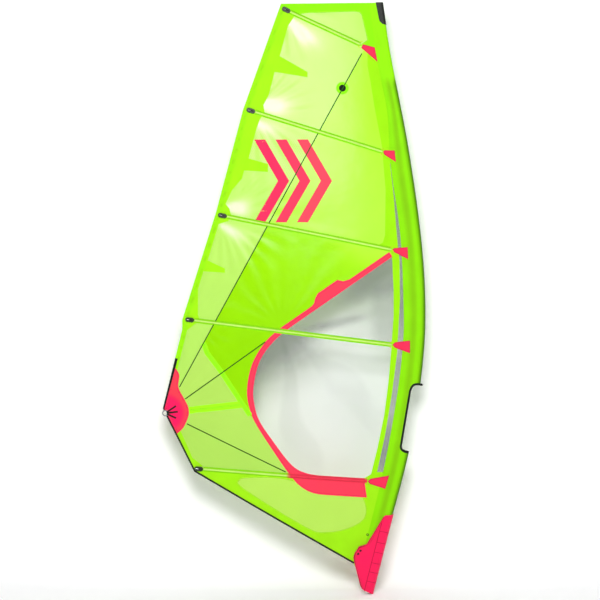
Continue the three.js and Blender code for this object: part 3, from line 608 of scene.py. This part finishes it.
DACRON = cloth("lime_dacron", 0.0011, crumple=0.12)
SCRIM = laminate("lime_scrim")
FILM = laminate("lime_film", yarn=0.0, rough=0.22)
WINDOW = clear("clear_film")
PINK = cloth("pink_cloth", 0.0013, glow=0.08)
NEOPRENE = cloth("pink_neoprene", 0.0016, rough=0.8, relief=0.35, glow=0.0, sheen=0.25, crumple=0.3)
WEBBING = webbing("black_webbing")
TAPE = stitched("seam_tape")
PINK_TAPE = stitched("pink_tape", thread=(0.42, 0.01, 0.05, 1.0))
HEM = stitched("hem_tape", rows=(-0.004, 0.004))
PIPING = stitched("cap_piping", rows=(0.0,), thread=(0.3, 0.02, 0.05, 1.0))
NYLON = moulded("black_nylon", (0.006, 0.007, 0.006, 1.0), 0.55)
CAPSULE = moulded("green_black_nylon", (0.024, 0.04, 0.015, 1.0))
STEEL = metal("stainless_steel")
CARBON = pultruded("carbon_rod")

# ---- Colours, 0-255 ------------------------------------------------------------------------------

HEAD_GREEN = (154, 254, 5)
LEECH_GREEN = (164, 249, 14)
SLEEVE_GREEN = (149, 239, 0)
STRIP_GREEN = (168, 246, 10)
FOOT_GREEN = (172, 246, 22)
FAIRING_PINK = (252, 26, 91)
CAP_PINK = (253, 45, 89)
BAND_PINK = (255, 60, 90)
BLACK = (26, 28, 25)
STEEL_GREY = (196, 200, 202)
CARBON_GREY = (38, 40, 42)
HOUSING_GREEN = (47, 60, 37)
LEECH = [(-642, 4133), (-908, 3391), (-1097, 2677), (-1335, 1921), (-1335, 1855), (-1471, 1302)]


def from_line(x, z, line):
    gap = np.full(np.shape(x), 1e9)
    for a, b in zip(line, line[1:]):
        gap = np.minimum(gap, line_distance(x, z, a, b)[0])
    return gap


def leech_paint(x, z):
    gap = from_line(x, z, LEECH)
    colour = mix(LEECH_GREEN, (174, 249, 18), ease(gap, 34, 44))
    return colour * (1 - 0.06 * ease(gap, 20, 26) * (1 - ease(gap, 26, 32)))[:, None]


GLARES = [  # start, slope in degrees and length of each glancing highlight
    ((-606, 4030), -38, 420), ((-590, 4035), -55, 300),
    ((-827, 3451), -4, 380), ((-800, 3425), -16, 260), ((-872, 3330), -27, 330),
    ((-1040, 2716), 6, 260), ((-1020, 2700), -12, 220), ((-1078, 2598), -32, 300),
]


def scrim_paint(x, z):
    """Leech scrim, whitened where light glances off it round the upper three tensioners."""
    colour = mix((188, 238, 96), (196, 243, 100), ease(z, 1500, 3700))
    glow = np.zeros(len(x))
    for start, slope, length in GLARES:
        turn = math.radians(slope)
        along = (x - start[0]) * math.cos(turn) + (z - start[1]) * math.sin(turn)
        off = (z - start[1]) * math.cos(turn) - (x - start[0]) * math.sin(turn)
        spread = 15 + 0.2 * np.maximum(along, 0)
        reach = ease(along, -20, 40) * (1 - ease(along, 0.2 * length, length))
        glow += np.exp(-((off / spread) ** 2)) * reach
    return mix(colour, (250, 255, 232), np.clip(glow, 0, 0.85))


def upper_paint(x, z):
    return mix((189, 248, 68), (187, 252, 50), ease(z, 2600, 3500))


def lower_paint(x, z):
    light = ease(z + 0.25 * x, 2150, 2420) * ease(x, -420, -40)
    return mix(mix((158, 231, 0), (166, 239, 2), ease(z, 1700, 2400)), (191, 251, 60), light)


def window_paint(x, z):
    """Greys of the light that the window reflects, laid out in broad soft bands."""
    over = (z - 1866 - (x + 580) * 0.224) / 1.025
    under = (z - 1459 - (x + 813) * 0.46) / 1.1
    below = z < 1922 - (x + 1281) * 0.1228
    shade = np.full(len(x), 252.0)
    shade -= np.where(below, 0, 66 * ease(over, 20, 150) * ease(x, -330, -60))
    shade -= np.where(below, 0, 30 * ease(over, 200, 60) * ease(x, -60, 60))
    low_band = np.exp(-((over + 38) / 30) ** 2) * ease(x, -560, -330) * (1 - ease(x, -160, 40))
    shade -= np.where(below, 0, 60 * low_band)
    shade -= np.where(below, 78 * ease(under, -70, 170) * (1 - ease(x, -560, -200)), 0)
    shade -= 52 * np.exp(-((x + 858) / 52) ** 2) * ease(z, 1200, 1380) * (1 - ease(z, 1560, 1700))
    shade -= 9 * ease(fan(x, z, (-640, 1880), 9, 1500, 2.0), 0.1, 0.9)
    shade = 252 - 0.45 * (252 - shade)
    return np.repeat(shade[:, None], 3, 1)


def slit_paint(x, z):
    grey = 222 + 10 * waves(x, z, 700, 3.0) - 26 * ease(z, 1300, 1100) * ease(z, 820, 1000)
    return np.repeat(grey[:, None], 3, 1)


def patch_paint(x, z):
    return mix((255, 22, 98), (250, 62, 84), ease(np.hypot(x - CLEW[0], z - CLEW[1]), 105, 150))


def sleeve_paint(x, z):
    back = luff_x(z) - x
    width = luff_x(z) - tail_x(z)
    # Painted shade: darkest (70, 116, 6) at the rounded luff edge, easing to the sleeve green within
    # about 34 mm aft.
    colour = mix((70, 116, 6), SLEEVE_GREEN, ease(back, -6, 34))
    # Painted shade: a darker band across the middle of the sleeve's breadth, where it curves away; paler
    # again above about 3600 mm.
    band = ease(back, 0.36 * width, 0.56 * width) * (1 - ease(back, 0.62 * width, 0.84 * width))
    return mix(mix(colour, (139, 214, 3), band), (158, 248, 2), ease(z, 3560, 3640))


# ---- Body panels ---------------------------------------------------------------------------------


def panel(node, material, paint, slot, thickness=1.0):
    """Fine, slightly wrinkled sheet in place of a flat CAD panel; its edges meet the next panel's."""
    sheet(f"{node}_cloth", grow(node_outline(node), 0.27), material, paint, thickness=thickness,
          stands_for=(node,), slot=slot)


panel("head_reinforcement", DACRON, HEAD_GREEN, "lime_dacron")
panel("leech_reinforcement", DACRON, leech_paint, "lime_dacron")
panel("luff_reinforcement", DACRON, STRIP_GREEN, "lime_dacron")
panel("foot_reinforcement", DACRON, FOOT_GREEN, "lime_dacron")
panel("head_panel", SCRIM, scrim_paint, "lime_scrim")
panel("leech_panel", SCRIM, scrim_paint, "lime_scrim")
panel("foot_panel", SCRIM, (192, 238, 87), "lime_scrim")
panel("clew_panel_upper", SCRIM, (190, 234, 96), "lime_scrim")
panel("clew_panel_middle", SCRIM, (185, 231, 91), "lime_scrim")
panel("clew_panel_lower", SCRIM, (182, 230, 88), "lime_scrim")
panel("body_panel_upper", FILM, upper_paint, "lime_film")
panel("body_panel_lower", FILM, lower_paint, "lime_film")
panel("window_film", WINDOW, window_paint, "clear_film", 0.6)
panel("luff_slit_film", WINDOW, slit_paint, "clear_film", 0.6)
panel("window_band", PINK, BAND_PINK, "pink_cloth", 1.6)
panel("clew_patch", PINK, patch_paint, "pink_cloth", 1.6)
panel("leech_binding", WEBBING, BLACK, "black_webbing", 3.0)
panel("foot_binding", WEBBING, BLACK, "black_webbing", 3.0)

# ---- Mast sleeve ---------------------------------------------------------------------------------

CUTOUT = np.array([
    (600, 1466), (349, 1466), (300, 1473), (271, 1453), (261, 1429), (196, 1032), (205, 1014),
    (228, 998), (262, 991), (600, 985),
], float)
SLEEVE_WALL = 1.2


def luff_loop(z, radius, backs, half, nose=None, arc=20):
    """Closed loop round the luff at one height, on the sail's middle surface."""
    nose = float(luff_x(z)) if nose is None else nose
    angle = np.linspace(-math.pi / 2, math.pi / 2, arc + 1)
    backs = np.asarray(backs, float)
    side = np.minimum(radius, half(backs, z))
    x = np.concatenate([nose - radius + radius * np.cos(angle), backs, backs[::-1]])
    y = np.concatenate([radius * np.sin(angle), side, -side[::-1]])
    return place(x, y + sail_y(x, z), z)


def sleeve_shape():
    """Closed skin of the sleeve; its hollow ends short of the tail seam."""
    heights = np.linspace(SLEEVE_BOTTOM, HEAD_Z, 150)

    def side(x, z):
        slack = 0.5 * np.sin(z / 31 + x / 23) + 0.6 * np.sin(z / 83 - x / 41)
        fade = ease(luff_x(z) - x, 30, 60) * ease(x - tail_x(z), 14, 34)
        return np.maximum(0.7, sleeve_half(x, z) + slack * fade)

    def inside(x, z):
        return np.maximum(0.1, side(x, z) - SLEEVE_WALL)

    outer = []
    inner = []
    for z in heights:
        radius = float(nose_radius(z))
        nose = float(luff_x(z))
        front = nose - radius - 1
        aft = float(tail_x(z))
        outer.append(luff_loop(z, radius, np.linspace(front, aft - 8, 9), side, nose))
        inner.append(luff_loop(z, radius - SLEEVE_WALL, np.linspace(front, aft + 14, 9), inside,
                               nose - SLEEVE_WALL))
    points, faces = loft(outer, ends=False)
    inner_points, inner_faces = loft(inner, ends=False)
    count = len(outer[0])
    base = len(points)
    faces += [tuple(i + base for i in reversed(f)) for f in inner_faces]
    for row in (0, len(outer) - 1):
        for i in range(count):
            a, b = row * count + i, row * count + (i + 1) % count
            faces.append((a, b, base + b, base + a))
    return np.concatenate([points, inner_points]), faces


def sleeve():
    obj = solid("mast_sleeve_cloth", *sleeve_shape())
    cut(obj, CUTOUT, "DIFFERENCE")
    finish(obj, DACRON, sleeve_paint, "root", ("mast_sleeve",), 40)


sleeve()


def sleeve_front(x, z):
    return sail_y(x, z) - sleeve_half(x, z)


def sleeve_back(x, z):
    return sail_y(x, z) + sleeve_half(x, z)


def cutout_binding():
    """Webbing folded over the edge of the boom opening, on both sides of the sleeve."""
    line = [(float(luff_x(1466)) - 0.6, 1466), (349, 1466), (318, 1472), (300, 1471), (284, 1465),
            (271, 1450), (261, 1424), (196, 1036), (199, 1020), (210, 1007), (228, 998), (253.6, 992.8)]
    for name, side, surface in (("front", -1, sleeve_front), ("back", 1, sleeve_back)):
        ribbon(f"cutout_binding_{name}", line, 15, WEBBING, BLACK, lift=-0.3, thickness=1.9, step=3,
               columns=5, side=side, surface=surface, slot="black_webbing",
               stands_for=("cutout_binding",) if side < 0 else ())


cutout_binding()


# ---- Battens, pockets and caps -------------------------------------------------------------------

POCKET = [(17, 1.0), (17, 1.7), (10.5, 2.2), (7.4, 6.5), (5.2, 11.2), (2.4, 13.0), (0, 13.3)]


BAND_CROSSING = (-600, -580)  # where the foot pocket passes onto the window band


def pocket_paint(name):
    """Paint for a pocket: it takes the colour of what it is sewn over, with a painted highlight down its
    crest and darker sewn edges.
    """
    start, end = BATTENS[name]

    def paint(x, z):
        gap = line_distance(x, z, start, end)[0]
        # Painted highlight: pale (214, 254, 128) along the middle of the pocket over the batten, easing
        # to green by 10 mm out.
        colour = mix((214, 254, 128), (156, 246, 14), ease(gap, 3, 10))
        if name == "5_foot":
            colour = mix(colour, BAND_PINK, ease(x, *BAND_CROSSING))
        edge = ease(gap, 9, 11) * (1 - ease(gap, 15, 16.5))
        return colour * (1 - 0.1 * edge)[:, None]

    return paint


def pocket(name):
    """Sewn pocket: two flat seam allowances and a rounded tunnel over the batten."""
    start, end = (np.array(p, float) for p in BATTENS[name])
    length = math.dist(start, end)
    run = (end - start) / length
    top = POCKET + [(-a, b) for a, b in reversed(POCKET[:-1])]
    low = [(-7.2, 1.2), (-5.6, 5.6), (-3.8, 10.4), (0, 12.1), (3.8, 10.4), (5.6, 5.6), (7.2, 1.2)]
    section = np.array(top + low, float)
    rings = []
    for s in np.linspace(HOUSING_HALF + 1.5, length - 6, int(length / 16)):
        pucker = 0.35 * math.sin(s / 9.0) + 0.25 * math.sin(s / 23.0 + 1)
        across = section[:, 0]
        out = section[:, 1] + np.where(section[:, 1] > 2.3, pucker, 0) * 0.5
        x = start[0] + run[0] * s - run[1] * across
        z = start[1] + run[1] * s + run[0] * across
        rings.append(place(x, sail_y(x, z) - out, z))
    points, faces = loft(rings)
    make(f"batten_pocket_{name}_cloth", points, faces, DACRON, pocket_paint(name),
         stands_for=(f"batten_pocket_{name}",), slot="lime_dacron", smooth=50)
    for side in (1, -1):
        line = [start + run * s + np.array((-run[1], run[0])) * side * 14 for s in (34, length - 8)]
        colour = stitch_paint(name)
        ribbon(f"pocket_{name}_stitching_{'upper' if side > 0 else 'lower'}", line, 5, TAPE, colour,
               lift=1.55, thickness=0.25, step=16, surface=sail_y)


def stitch_paint(name):
    def paint(x, z):
        colour = np.tile(np.array((140, 226, 8), float), (len(x), 1))
        if name == "5_foot":
            colour = mix((150, 232, 10), (238, 46, 80), ease(x, *BAND_CROSSING))
        return colour

    return paint


def cap(name):
    """Padded leather cap over a batten's front end, with piping round it."""
    loop = node_outline(f"batten_cap_{name}")
    sheet(f"batten_cap_{name}_leather", loop, PINK, CAP_PINK, lift=2.1, thickness=2.0, cell=8,
          surface=sleeve_front, puff=2.6, stands_for=(f"batten_cap_{name}",), slot="pink_cloth")
    ribbon(f"batten_cap_{name}_piping", grow(loop, -4), 5, PIPING, (222, 26, 74), lift=4.4,
           thickness=0.9, step=6, surface=sleeve_front, closed=True)
    start, end = (np.array(p, float) for p in BATTENS[name])
    run = (end - start) / math.dist(start, end)
    back = math.atan2(-run[1], -run[0])
    arc = [(end[0] + 6 * run[0] + 25 * math.cos(back + a), end[1] + 6 * run[1] + 25 * math.sin(back + a))
           for a in np.linspace(-1.35, 1.35, 15)]
    ribbon(f"batten_cap_{name}_tip_piping", arc, 6, PIPING, (196, 240, 20), lift=0.9, thickness=1.2,
           step=6, surface=sleeve_front)


for batten in BATTENS:
    pocket(batten)
    cap(batten)
ribbon("foot_cap_plain_label", [(0, 790), (60, 786)], 11, PIPING, (250, 222, 228), lift=4.7,
       thickness=0.5, step=8, surface=sleeve_front)

# ---- Seams, tapes and trim -----------------------------------------------------------------------

SEAMS = {"leech": ((-76, 3788), 209), "upper": ((-752, 1768), 170), "lower": ((-608, 860), 168)}
TAPE_LINE = [(-1185, 1760), (-1160, 1690), (-1069, 1571), (-929, 1361), (-858, 1255)]


def toward(end, start_after, stop_short=0.0):
    start, end = np.array(CLEW, float), np.array(end, float)
    run = (end - start) / math.dist(start, end)
    return [start + run * start_after, end - run * stop_short]


for seam, (end, start_after) in SEAMS.items():
    ribbon(f"seam_{seam}", toward(end, start_after), 7, TAPE, (22, 84, 4), lift=1.7, thickness=0.35)
ribbon("radial_tape", TAPE_LINE, 34, HEM, (150, 252, 6), lift=0.95, thickness=0.4)
ribbon("clew_tape", [(-1286, 1288), (-918, 1331)], 48, HEM, (156, 250, 10), lift=0.85, thickness=0.3)
for name in ("window_band", "clew_patch"):
    ribbon(f"{name}_stitching", grow(node_outline(name), -7), 8, PINK_TAPE, (246, 46, 86), lift=0.85,
           thickness=0.2, closed=True)
for name, colour in (("head_panel", (156, 246, 14)), ("foot_panel", (170, 240, 30))):
    ribbon(f"{name}_stitching", grow(node_outline(name), 5), 10, HEM, colour, lift=0.55,
           thickness=0.2, closed=True)


def round_line(centre, radius, parts=36):
    turn = np.linspace(0, 2 * math.pi, parts, endpoint=False)
    return np.c_[centre[0] + radius * np.cos(turn), centre[1] + radius * np.sin(turn)]


sheet("trim_mark_ring", round_line((-212, 3544), 43.5), DACRON, (150, 252, 12), lift=0.95,
      thickness=0.5, cell=14)
sheet("trim_mark_dot", round_line((-212, 3544), 24), DACRON, (20, 26, 16), lift=1.4, thickness=0.4,
      cell=12)

# Plain chevrons printed on the upper panel.
for i in range(3):
    x0, z0, high, broad, tip = -831 + 150 * i, 2894, 290, 78, 168
    chevron = [(x0, z0 + high), (x0 + broad, z0 + high), (x0 + broad + tip, z0),
               (x0 + broad, z0 - high), (x0, z0 - high), (x0 + tip, z0)]
    sheet(f"chevron_{i + 1}", np.array(chevron, float), PINK, (246, 44 + 14 * i, 96), lift=0.75,
          thickness=0.3)


def lathe(name, centre, profile, material, tone, surface=cloth_y, parts=28, **more):
    """Ring about a line square to the sail, from (radius, out) points of a closed section."""
    rings = []
    middle = float(surface(*centre))
    for turn in np.linspace(0, 2 * math.pi, parts, endpoint=False):
        radius = np.array([p[0] for p in profile], float)
        out = np.array([p[1] for p in profile], float)
        rings.append(place(centre[0] + radius * math.cos(turn), middle - out,
                           centre[1] + radius * math.sin(turn)))
    rings.append(rings[0])
    points, faces = loft(rings, ends=False)
    count = len(profile)
    total = parts * count
    faces = [tuple(i % total for i in f) for f in faces]
    return make(name, points[:total], faces, material, tone, **more)


lathe("foot_eyelet", (-36, 417),
      [(4.2, -1.2), (8.5, -1.2), (8.5, 1.0), (7.2, 2.0), (5.4, 2.0), (4.2, 1.0)],
      NYLON, BLACK, slot="black_nylon")

# ---- Clew webbing --------------------------------------------------------------------------------

STRAP_ENDS = [(-1379, 1318), (-1366, 1278), (-1378, 1233)]
RING = {"outer": 23, "inner": 14.5, "thickness": 8}


def clew_strap(index, end):
    """Strap sewn to one side of the film, round the ring's wire and back down the other side."""
    start, end = np.array(CLEW, float), np.array(end, float)
    run = (end - start) / math.dist(start, end)
    reach = math.dist(start, end)
    film = 0.5 + 0.8
    wire = RING["thickness"] / 2 + 0.7
    path = [(reach, film), (30, film), (25, wire), (14.5, wire), (12.8, wire - 1.4)]
    path += [(12.8, 1.4 - wire), (14.5, -wire), (25, -wire), (30, -film), (reach, -film)]
    rings = []
    for i, (s, out) in enumerate(path):
        before, after = path[max(i - 1, 0)], path[min(i + 1, len(path) - 1)]
        dx, dy = after[0] - before[0], after[1] - before[1]
        size = math.hypot(dx, dy)
        ring = []
        for across, thick in ((-5.5, 0), (5.5, 0), (5.5, 1.8), (-5.5, 1.8)):
            along = s + thick * dy / size
            level = out - thick * dx / size
            x = start[0] + run[0] * along - run[1] * across
            z = start[1] + run[1] * along + run[0] * across
            ring.append(place(x, sail_y(x, z) - level, z))
        rings.append(np.array(ring))
    points, faces = loft(rings)
    names = ("clew_webbing",) if index == 0 else ()
    make(f"clew_strap_{index + 1}", points, faces, WEBBING, BLACK, stands_for=names,
         slot="black_webbing", smooth=30)


for i, end in enumerate(STRAP_ENDS):
    clew_strap(i, end)

# ---- Tack fairing --------------------------------------------------------------------------------

FAIRING = np.array([
    (0, 0), (-76, 36), (-87, 58), (-130, 223), (-136, 259), (-127, 290), (-98, 335), (-42, 353),
    (74, 542), (88, 554), (200, 561), (200, 0),
], float)
fairing_aft = through([(-20, -60), (36, -78), (58, -87), (223, -130), (262, -134), (300, -122),
                       (335, -98), (353, -42), (450, 18), (542, 74)])
FAIRING_NOSE = 31
FAIRING_PROUD = 5
FAIRING_WALL = 3.8


def fairing_half(x, z):
    closing = 1.6 + 1.7 * np.maximum(0, x - fairing_aft(z))
    over_sleeve = np.where(z > SLEEVE_BOTTOM - 10, sleeve_half(x, z) + 1, 0)
    return np.minimum(FAIRING_NOSE - FAIRING_WALL, np.maximum(closing, over_sleeve))


def fairing(name, node, side, body):
    """One half of the wrap: thick soft cloth from the nose aft to the film."""
    rings = []
    for z in np.linspace(-10, 571, 44):
        nose = float(luff_x(z)) + FAIRING_PROUD
        backs = np.linspace(nose - FAIRING_NOSE - 2, float(fairing_aft(z)) - 15, 14)
        turn = np.linspace(math.pi / 2, math.asin(0.9 / FAIRING_NOSE), 12)
        inner_turn = np.linspace(math.pi / 2, math.asin(0.9 / (FAIRING_NOSE - FAIRING_WALL)), 12)
        inside = FAIRING_NOSE - FAIRING_WALL
        half = fairing_half(backs, z)
        soft = 0.5 * np.sin(z / 26 + backs / 31) * ease(nose - backs, 40, 70)
        outer_y = np.minimum(FAIRING_NOSE, half + FAIRING_WALL + soft)
        x = np.concatenate([backs[::-1], nose - FAIRING_NOSE + FAIRING_NOSE * np.cos(turn),
                            (nose - FAIRING_NOSE + inside * np.cos(inner_turn))[::-1], backs])
        y = np.concatenate([outer_y[::-1], FAIRING_NOSE * np.sin(turn),
                            (inside * np.sin(inner_turn))[::-1], half])
        rings.append(place(x, side * y + sail_y(x, z), z))
    obj = solid(name, *loft(rings))
    cut(obj, FAIRING, "INTERSECT")
    finish(obj, NEOPRENE, FAIRING_PINK, body, (node,), 40)


def fairing_front(x, z):
    nose = luff_x(z) + FAIRING_PROUD
    back = nose - x
    around = np.sqrt(np.maximum(0, FAIRING_NOSE**2 - (FAIRING_NOSE - back) ** 2))
    flat = np.minimum(FAIRING_NOSE, fairing_half(x, z) + FAIRING_WALL)
    return sail_y(x, z) - np.where(back < FAIRING_NOSE, around, flat)


fairing("tack_fairing_neoprene", "tack_fairing", -1, "root")
fairing("tack_fairing_flap_neoprene", "tack_fairing_flap", 1, "fairing_flap")
FAIRING_STITCH = (196, 12, 62)
edge = [(-73, 38), (-83, 60), (-126, 224), (-131, 258), (-123, 288), (-96, 330), (-40, 349), (76, 541)]
ribbon("fairing_edge_stitching", edge, 6, PINK_TAPE, FAIRING_STITCH, lift=0.6, thickness=0.3, step=8,
       surface=fairing_front)
upright = [(float(luff_x(z)) - 66, z) for z in (24, 110, 200, 290, 380, 470, 505)]
ribbon("fairing_upright_stitching", upright, 5, PINK_TAPE, FAIRING_STITCH, lift=0.6, thickness=0.3,
       step=8, surface=fairing_front)
for i, z in enumerate((95, 160, 224, 299, 367, 445)):
    luff = float(luff_x(z))
    ribbon(f"fairing_cross_stitching_{i + 1}", [(luff - 66, z), (luff - 4, z - 14)], 4, PINK_TAPE,
           FAIRING_STITCH, lift=0.6, thickness=0.3, step=5, surface=fairing_front)
for i, (x, z) in enumerate(((-102, 287), (-86, 309))):
    ribbon(f"fairing_tab_{i + 1}", [(x - 6, z - 4), (x + 6, z + 4)], 11, WEBBING, BLACK, lift=0.6,
           thickness=1.2, step=6, surface=fairing_front)

# ---- Rigid pieces, shown as they are -------------------------------------------------------------


def dress(node, material, tone, bevel=0.0):
    """Material, colour and worn edges, in millimetres, for a rigid piece of the frame."""
    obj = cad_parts[node]
    mesh = obj.data
    mesh.materials.clear()
    mesh.materials.append(material)
    colour = mesh.color_attributes.new("tone", "FLOAT_COLOR", "POINT")
    value = np.tile([*linear(tone), 1.0], (len(mesh.vertices), 1)).astype(np.float32)
    colour.data.foreach_set("color", value.ravel())
    if bevel:
        modifier = obj.modifiers.new("worn edges", "BEVEL")
        modifier.width = bevel / 1000
        modifier.segments = 2
        modifier.limit_method = "ANGLE"
        modifier.angle_limit = math.radians(35)


for batten in BATTENS:
    dress(f"batten_{batten}", CARBON, CARBON_GREY)
    dress(f"tensioner_housing_{batten}", CAPSULE, HOUSING_GREEN, 0.5)
    dress(f"tensioner_screw_{batten}", STEEL, STEEL_GREY, 0.2)
    dress(f"tensioner_cup_{batten}", NYLON, BLACK, 0.3)
dress("clew_ring", STEEL, STEEL_GREY, 0.4)
dress("tack_block", NYLON, BLACK, 0.6)
dress("tack_block_axle", STEEL, STEEL_GREY, 0.3)
for side in ("starboard", "middle", "port"):
    dress(f"tack_roller_{side}", STEEL, STEEL_GREY, 0.2)
dress("head_cap", NYLON, BLACK, 0.6)

# ---- Studio, in metres ---------------------------------------------------------------------------

ROOM_SIDES = (-16.0, 15.0)
FLOOR_ENDS = (-14.0, 14.0)
WALL_TOP = 14.0
WALL_Y = 0.36
WALL_BEND = 0.2
ROOM_LIGHT = 0.24  # the room's light on the sail
ROOM_SEEN = 0.93   # the room's brightness to the camera
AIM = (-0.4, 0, 2.0)
LAMPS = [  # name, place, size and power in watts
    ("key", (-0.6, -7.0, 4.6), 2.2, 450.0),
    ("fill", (4.0, -7.0, 2.4), 4.0, 40.0),
    ("rim", (3.0, 5.5, 5.0), 3.0, 120.0),
]
VIEW_X, VIEW_Z = -0.459, 2.016
VIEW_HALF = 2.1  # half the width seen at the sail
VIEW_FRONT = 0.02
LENS_MM = 100
SENSOR_MM = 36


def studio_sheet(name, profile, see_through_back):
    """Pale paper through (y, z) points, as wide as the room."""
    points = [(x, y, z) for y, z in profile for x in ROOM_SIDES]
    faces = [(2 * i, 2 * i + 1, 2 * i + 3, 2 * i + 2) for i in range(len(profile) - 1)]
    mesh = bpy.data.meshes.new(name)
    mesh.from_pydata(points, [], faces)
    mesh.shade_smooth()
    obj = bpy.data.objects.new(name, mesh)
    bpy.context.scene.collection.objects.link(obj)
    g = Graph(name)
    paper = g.add("BsdfDiffuse", {"Color": (0.97, 0.97, 0.97, 1.0)}).outputs[0]
    lit = g.add("Emission", {"Color": (1.0, 1.0, 1.0, 1.0), "Strength": 0.05}).outputs[0]
    paper = g.add("AddShader", {0: paper, 1: lit}).outputs[0]
    if see_through_back:
        gone = g.add("BsdfTransparent").outputs[0]
        behind = g.add("NewGeometry").outputs["Backfacing"]
        paper = g.add("MixShader", {0: behind, 1: paper, 2: gone}).outputs[0]
    mesh.materials.append(g.end(paper))


def studio():
    floor = cad_bounds[0][2]
    sweep = [(WALL_Y - WALL_BEND + WALL_BEND * math.sin(a),
              floor + WALL_BEND - WALL_BEND * math.cos(a))
             for a in np.linspace(0.0, math.pi / 2, 16)]
    studio_sheet("studio_wall", sweep + [(WALL_Y, WALL_TOP)], True)
    studio_sheet("studio_floor", [(y, floor - 0.0005) for y in FLOOR_ENDS], False)

    world = bpy.data.worlds.new("soft_room")
    world.use_nodes = True
    tree = world.node_tree
    room = tree.nodes["Background"]
    room.inputs[0].default_value = (0.98, 0.99, 1.0, 1.0)
    seen = tree.nodes.new("ShaderNodeLightPath").outputs["Is Camera Ray"]
    strength = tree.nodes.new("ShaderNodeMapRange")
    tree.links.new(seen, strength.inputs[0])
    strength.inputs[3].default_value = ROOM_LIGHT
    strength.inputs[4].default_value = ROOM_SEEN
    tree.links.new(strength.outputs[0], room.inputs[1])
    bpy.context.scene.world = world

    for name, spot, size, power in LAMPS:
        lamp = bpy.data.lights.new(name, "AREA")
        lamp.size = size
        lamp.energy = power
        light = bpy.data.objects.new(name, lamp)
        light.location = spot
        light.rotation_euler = (Vector(AIM) - Vector(spot)).to_track_quat("-Z", "Y").to_euler()
        bpy.context.scene.collection.objects.link(light)

    lens = bpy.data.cameras.new("camera")
    lens.lens = LENS_MM
    lens.sensor_width = SENSOR_MM
    lens.clip_end = 100
    camera = bpy.data.objects.new("camera", lens)
    distance = VIEW_HALF / math.tan(math.atan(SENSOR_MM / 2 / LENS_MM))
    camera.location = (VIEW_X, -distance - VIEW_FRONT, VIEW_Z)
    camera.rotation_euler = (math.pi / 2, 0, 0)
    bpy.context.scene.collection.objects.link(camera)
    bpy.context.scene.camera = camera
    bpy.context.scene.view_settings.view_transform = "Standard"


studio()
